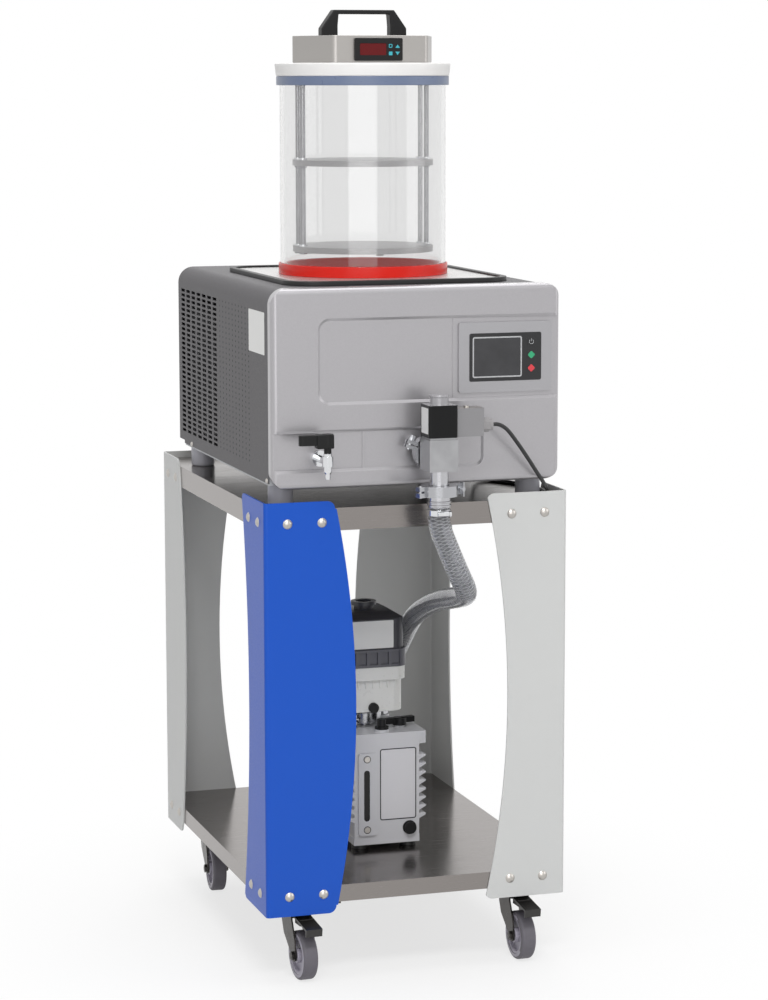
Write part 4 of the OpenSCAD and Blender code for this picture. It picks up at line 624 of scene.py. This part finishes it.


# dark discs of painted shade for the cover's punched holes, and the cover's side screws
holeShadeSettings = {"side": 225, "proud": 0.08, "radius": 1.75, "columns": 10, "columnFirst": 19,
               "columnPitch": 19.4, "rows": 30, "rowFirst": 1012, "rowPitch": 7.9}
bm = bmesh.new()
for side in (-1, 1):
    for column in range(holeShadeSettings["columns"]):
        for row in range(holeShadeSettings["rows"]):
            spot = Vector((side * (holeShadeSettings["side"] + holeShadeSettings["proud"]),
                           holeShadeSettings["columnFirst"] - column * holeShadeSettings["columnPitch"],
                           holeShadeSettings["rowFirst"] - row * holeShadeSettings["rowPitch"]))
            turned = Matrix.Translation(spot * mm) @ Matrix.Rotation(side * math.pi / 2, 4, "Y")
            bmesh.ops.create_circle(bm, cap_ends=True, segments=10, radius=holeShadeSettings["radius"] * mm,
                                    matrix=turned)
finishPiece("coverHoleShadeDots", bm, "root", holeShadePaint)
screwSettings = {"side": 225, "places": (-255, 210), "height": 764.5,
                 "head": [(0, 2.2), (2.4, 1.9), (3.9, 0.9), (4.2, 0)]}
bm = bmesh.new()
for side in (-1, 1):
    for y in screwSettings["places"]:
        addTurned(bm, screwSettings["head"], (side * screwSettings["side"], y, screwSettings["height"]),
                  (side, 0, 0), 20)
finishPiece("coverScrews", bm, "root", boltSteel, 40)
print("cover finished")

# block of the tap's lever about its stem
low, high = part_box("tap_lever")
middle, top = (low.y + high.y) / 2 / mm, high.z / mm
bm = bmesh.new()
addBox(bm, (leverSettings["hub"][0], middle - leverSettings["hubHalf"], top - leverSettings["hubDeep"]),
       (leverSettings["hub"][1], middle + leverSettings["hubHalf"], top - leverSettings["below"]))
bevelEdges(bm, leverSettings["round"], 3)
finishPiece("leverHub", bm, nodeBody["tap_lever"], blackPlastic, 40)
print("tap finished")

# blank labels, the screen's border, the keys beside it and the lid's unlit window
plates = {
    "sideLabel": {"paint": plainLabel, "slot": "cover_enamel", "shape": {
        "centre": (-225, -201.5, 981.5), "size": (89, 63), "radius": 1.5, "thick": 0.25,
        "across": (0, -1, 0)}},
    "screenBorder": {"paint": paleInk, "slot": "screen_glass", "shape": {
        "centre": (124.5, -285.5, 941), "size": (78, 61), "radius": 3, "thick": 0.15, "rim": 2}},
    "startKey": {"paint": greenInk, "slot": "black_plastic", "shape": {
        "centre": (178.5, -286, 943), "size": (8.6, 8.6), "radius": 1.6, "thick": 0.15, "turn": 45}},
    "stopKey": {"paint": redInk, "slot": "black_plastic", "shape": {
        "centre": (178.5, -286, 923), "size": (8.6, 8.6), "radius": 1.6, "thick": 0.15, "turn": 45}},
    "lidWindow": {"paint": redFilter, "slot": "screen_glass", "shape": {
        "centre": (-13.5, -107, 1397), "size": (41.6, 17.6), "radius": 1.8, "thick": 0.5}},
    "coilLabel": {"paint": plainLabel, "slot": "black_plastic", "shape": {
        "centre": (-7, -339, 856), "size": (31, 38), "radius": 1, "thick": 0.2, "across": (0, -1, 0)}},
    "pumpPlate": {"paint": plateLabel, "slot": "pump_enamel", "shape": {
        "centre": (27, -102, 252.5), "size": (60, 115), "radius": 4, "thick": 0.3}},
    "pumpPlateLine": {"paint": blackPrintAndShadow, "slot": "pump_enamel", "shape": {
        "centre": (27, -102.3, 252.5), "size": (60, 115), "radius": 4, "thick": 0.12, "rim": 1.7}},
    "filterLabel": {"paint": plainLabel, "slot": "filter_grey", "shape": {
        "centre": (-6, -75.5, 488), "size": (68, 44), "radius": 1.5, "thick": 0.25}},
}
for name, plate in plates.items():
    bm = bmesh.new()
    addPlate(bm, **plate["shape"])
    finishPiece(name, bm, "root", plate["paint"])
print("plates made")

# the power key's mark, an open ring with a bar
powerSettings = {"centre": (178.5, -286.05, 962.6), "ring": 3.3, "degrees": range(125, 416, 10),
                 "bar": (0.8, 4.8), "line": 0.35}
bm = bmesh.new()
centre = Vector(powerSettings["centre"])
turns = [math.radians(a) for a in powerSettings["degrees"]]
ring = [(centre + powerSettings["ring"] * Vector((math.cos(a), 0, math.sin(a)))) * mm for a in turns]
bar = [(centre + Vector((0, 0, z))) * mm for z in powerSettings["bar"]]
for line in (ring, bar):
    bm.from_mesh(curveMesh("powerLine", line, powerSettings["line"] * mm, 1))
finishPiece("powerKey", bm, "root", paleInk)

# keys of the lid's controller: two arrows, a square and a ring
lidSettings = {"face": -108, "thick": 0.35, "arrowX": 25.1, "arrowHalf": 3.5,
               "arrows": ((1393.4, 1388.5), (1399.2, 1404.1)), "keyX": 14, "keySize": (5.6, 5.6),
               "square": (1390.8, 0.8, 0), "ring": (1402.2, 1.6, 1.1)}
bm = bmesh.new()
for foot, tip in lidSettings["arrows"]:
    outline = [(lidSettings["arrowX"] + a * lidSettings["arrowHalf"], lidSettings["face"], z)
               for a, z in ((-1, foot), (1, foot), (0, tip))]
    raiseFace(bm, outline, (0, -lidSettings["thick"], 0))
for z, radius, rim in (lidSettings["square"], lidSettings["ring"]):
    addPlate(bm, (lidSettings["keyX"], lidSettings["face"], z), lidSettings["keySize"], radius,
             lidSettings["thick"], rim)
finishPiece("lidKeys", bm, "root", cyanKey)
print("keys made")

# worm drive clips on the hose's ends, and the rings of the upper nozzle
clipSettings = {"ends": ((15, -339, 714.5, -90), (50.3, 69.7, 373, -70)), "inner": 16.6, "outer": 17.7,
                "width": 9, "lip": 0.3, "barrelOut": 2.6, "barrelRadius": 4, "barrelLength": 17,
                "headRadius": 4.8, "head": 3.5}
width, barrel = clipSettings["width"], clipSettings["barrelLength"]
band = [(clipSettings["inner"], 0), (clipSettings["outer"], clipSettings["lip"]),
        (clipSettings["outer"], width - clipSettings["lip"]), (clipSettings["inner"], width)]
bm = bmesh.new()
for x, y, z, turn in clipSettings["ends"]:
    addTurned(bm, band, (x, y, z), steps=48)
    out = Vector((math.cos(math.radians(turn)), math.sin(math.radians(turn)), 0))
    along = Vector((0, 0, 1)).cross(out)
    seat = Vector((x, y, z + width / 2)) + out * (clipSettings["outer"] + clipSettings["barrelOut"])
    addPin(bm, seat - along * barrel / 2, along, clipSettings["barrelRadius"], barrel)
    addPin(bm, seat + along * barrel / 2, along, clipSettings["headRadius"], clipSettings["head"], 6)
bevelEdges(bm, 0.4, 2, 50)
finishPiece("hoseClips", bm, "root", chrome, 40)
nozzleSettings = {"heights": (728, 733.5), "ring": [(16.9, 0), (18.2, 0.8), (18.2, 2.6), (16.9, 3.4)]}
bm = bmesh.new()
for z in nozzleSettings["heights"]:
    addTurned(bm, nozzleSettings["ring"], (*hoseSettings["route"][0][:2], z), steps=48)
finishPiece("nozzleRings", bm, "root", turnedSteel, 40)
print("hose clips made")

# collars of the rack's rods on its discs
collarSettings = {"circle": 101, "turn": 8, "apart": 133,
                  "profile": [(4.1, 0), (6.5, 0), (6.5, 3), (4.1, 3)]}
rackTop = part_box("rack_discs")[1].z / mm
bm = bmesh.new()
for top in (rackTop - collarSettings["apart"], rackTop):
    for turn in (collarSettings["turn"], -collarSettings["turn"]):
        for half in (0, 180):
            a = math.radians(turn + half)
            x, y = collarSettings["circle"] * math.cos(a), collarSettings["circle"] * math.sin(a)
            addTurned(bm, collarSettings["profile"], (x, y + sealSettings["axisY"], top), steps=24)
finishPiece("rackCollars", bm, "root", chrome, 40)
print("collars made")

# ribs under the rim of the filter's bowl, and rings of painted shadow about the oil window's screws
ribSettings = {"across": range(-41, 32, 12), "half": 1.2, "front": -75, "back": -72, "low": 402,
               "high": 415.5}
bm = bmesh.new()
for x in ribSettings["across"]:
    addBox(bm, (x - ribSettings["half"], ribSettings["front"], ribSettings["low"]),
           (x + ribSettings["half"], ribSettings["back"], ribSettings["high"]))
bevelEdges(bm, 0.5, 2)
finishPiece("bowlRibs", bm, "root", bowlPlastic, 40)
screwShadowSettings = {"front": -106, "profile": [(5.0, 0), (5.0, 0.25), (6.0, 0.25), (6.0, 0)]}
bm = bmesh.new()
for reach in (-windowSettings["screwReach"], windowSettings["screwReach"]):
    addTurned(bm, screwShadowSettings["profile"], (windowSettings["screwX"], screwShadowSettings["front"],
                                            windowSettings["screwMiddle"] + reach), (0, -1, 0), 24)
finishPiece("windowScrewShadowRings", bm, "root", blackPrintAndShadow)
print("pump finished")


# floor, light and backdrop

# the front light is wide and weak, so that the clear chamber shows only a soft band of it
lights = [
    {"name": "frontLight", "place": (-1.9, -6.2, 2.3), "size": (5.0, 4.4), "power": 95},
    {"name": "upperLight", "place": (-0.7, -3.2, 4.0), "size": (1.8, 1.0), "power": 85},
    {"name": "keyLight", "place": (-3.6, -1.6, 3.0), "size": (2.2, 2.2), "power": 14},
    {"name": "fillLight", "place": (3.4, -1.8, 2.0), "size": (2.4, 2.4), "power": 22},
    {"name": "rearLight", "place": (1.2, 3.9, 4.4), "size": (2.4, 1.6), "power": 34},
    {"name": "topLight", "place": (0.0, 0.3, 4.2), "size": (3.0, 3.0), "power": 65},
]


def seenBy(tree):
    # 1 where the camera looks straight, in a reflection or through glass
    path = addNode(tree, "ShaderNodeLightPath")
    mirrored = addNode(tree, "ShaderNodeMath", {"operation": "MAXIMUM"},
                       {0: path.outputs["Is Glossy Ray"], 1: path.outputs["Is Transmission Ray"]})
    return addNode(tree, "ShaderNodeMath", {"operation": "MAXIMUM"},
                   {0: path.outputs["Is Camera Ray"], 1: mirrored.outputs["Value"]}).outputs["Value"]


stageSettings = {"size": 30, "near": 0.18, "clear": 0.9, "nearShare": 0.7, "worldLight": 0.25}
floorMesh = bpy.data.meshes.new("floor")
bm = bmesh.new()
bmesh.ops.create_grid(bm, x_segments=1, y_segments=1, size=stageSettings["size"])
bm.to_mesh(floorMesh)
bm.free()
# pale paper that glows white away from the machine, so that no horizon shows
floorMaterial, tree, shader = newMaterial("paleStudioFloor", "#fafafa", 0.7)
place = addNode(tree, "ShaderNodeTexCoord")
span = addNode(tree, "ShaderNodeVectorMath", {"operation": "LENGTH"}, {0: place.outputs["Object"]})
share = addNode(tree, "ShaderNodeMapRange", {"interpolation_type": "SMOOTHSTEP"}, {
    "Value": span.outputs["Value"], "From Min": stageSettings["near"], "From Max": stageSettings["clear"],
    "To Min": stageSettings["nearShare"], "To Max": 1.0})
glow = addNode(tree, "ShaderNodeEmission", inputs={"Color": (1, 1, 1, 1), "Strength": 1.0})
shown = addNode(tree, "ShaderNodeMath", {"operation": "MULTIPLY"},
                {0: share.outputs["Result"], 1: seenBy(tree)})
blend = addNode(tree, "ShaderNodeMixShader", inputs={"Fac": shown.outputs["Value"], 1: shader.outputs["BSDF"],
                                                     2: glow.outputs["Emission"]})
tree.links.new(blend.outputs["Shader"], tree.nodes["Material Output"].inputs["Surface"])
floorMesh.materials.append(floorMaterial)
floor = bpy.data.objects.new("floor", floorMesh)
scene.collection.objects.link(floor)
for row in lights:
    data = bpy.data.lights.new(row["name"], "AREA")
    data.shape = "RECTANGLE"
    data.size, data.size_y = row["size"]
    data.energy = row["power"]
    lamp = bpy.data.objects.new(row["name"], data)
    lamp.location = row["place"]
    lamp.rotation_euler = (Vector((0, 0, 0.75)) - lamp.location).to_track_quat("-Z", "Y").to_euler()
    scene.collection.objects.link(lamp)
world = bpy.data.worlds.new("studio")
scene.world = world
world.use_nodes = True
tree = world.node_tree
tree.nodes.clear()
soft = addNode(tree, "ShaderNodeBackground",
               inputs={"Color": (1, 1, 1, 1), "Strength": stageSettings["worldLight"]})
white = addNode(tree, "ShaderNodeBackground", inputs={"Color": (1, 1, 1, 1), "Strength": 1.0})
both = addNode(tree, "ShaderNodeMixShader", inputs={"Fac": seenBy(tree), 1: soft.outputs["Background"],
                                                    2: white.outputs["Background"]})
addNode(tree, "ShaderNodeOutputWorld", inputs={"Surface": both.outputs["Shader"]})
scene.view_settings.view_transform = "Standard"
print("stage lit")
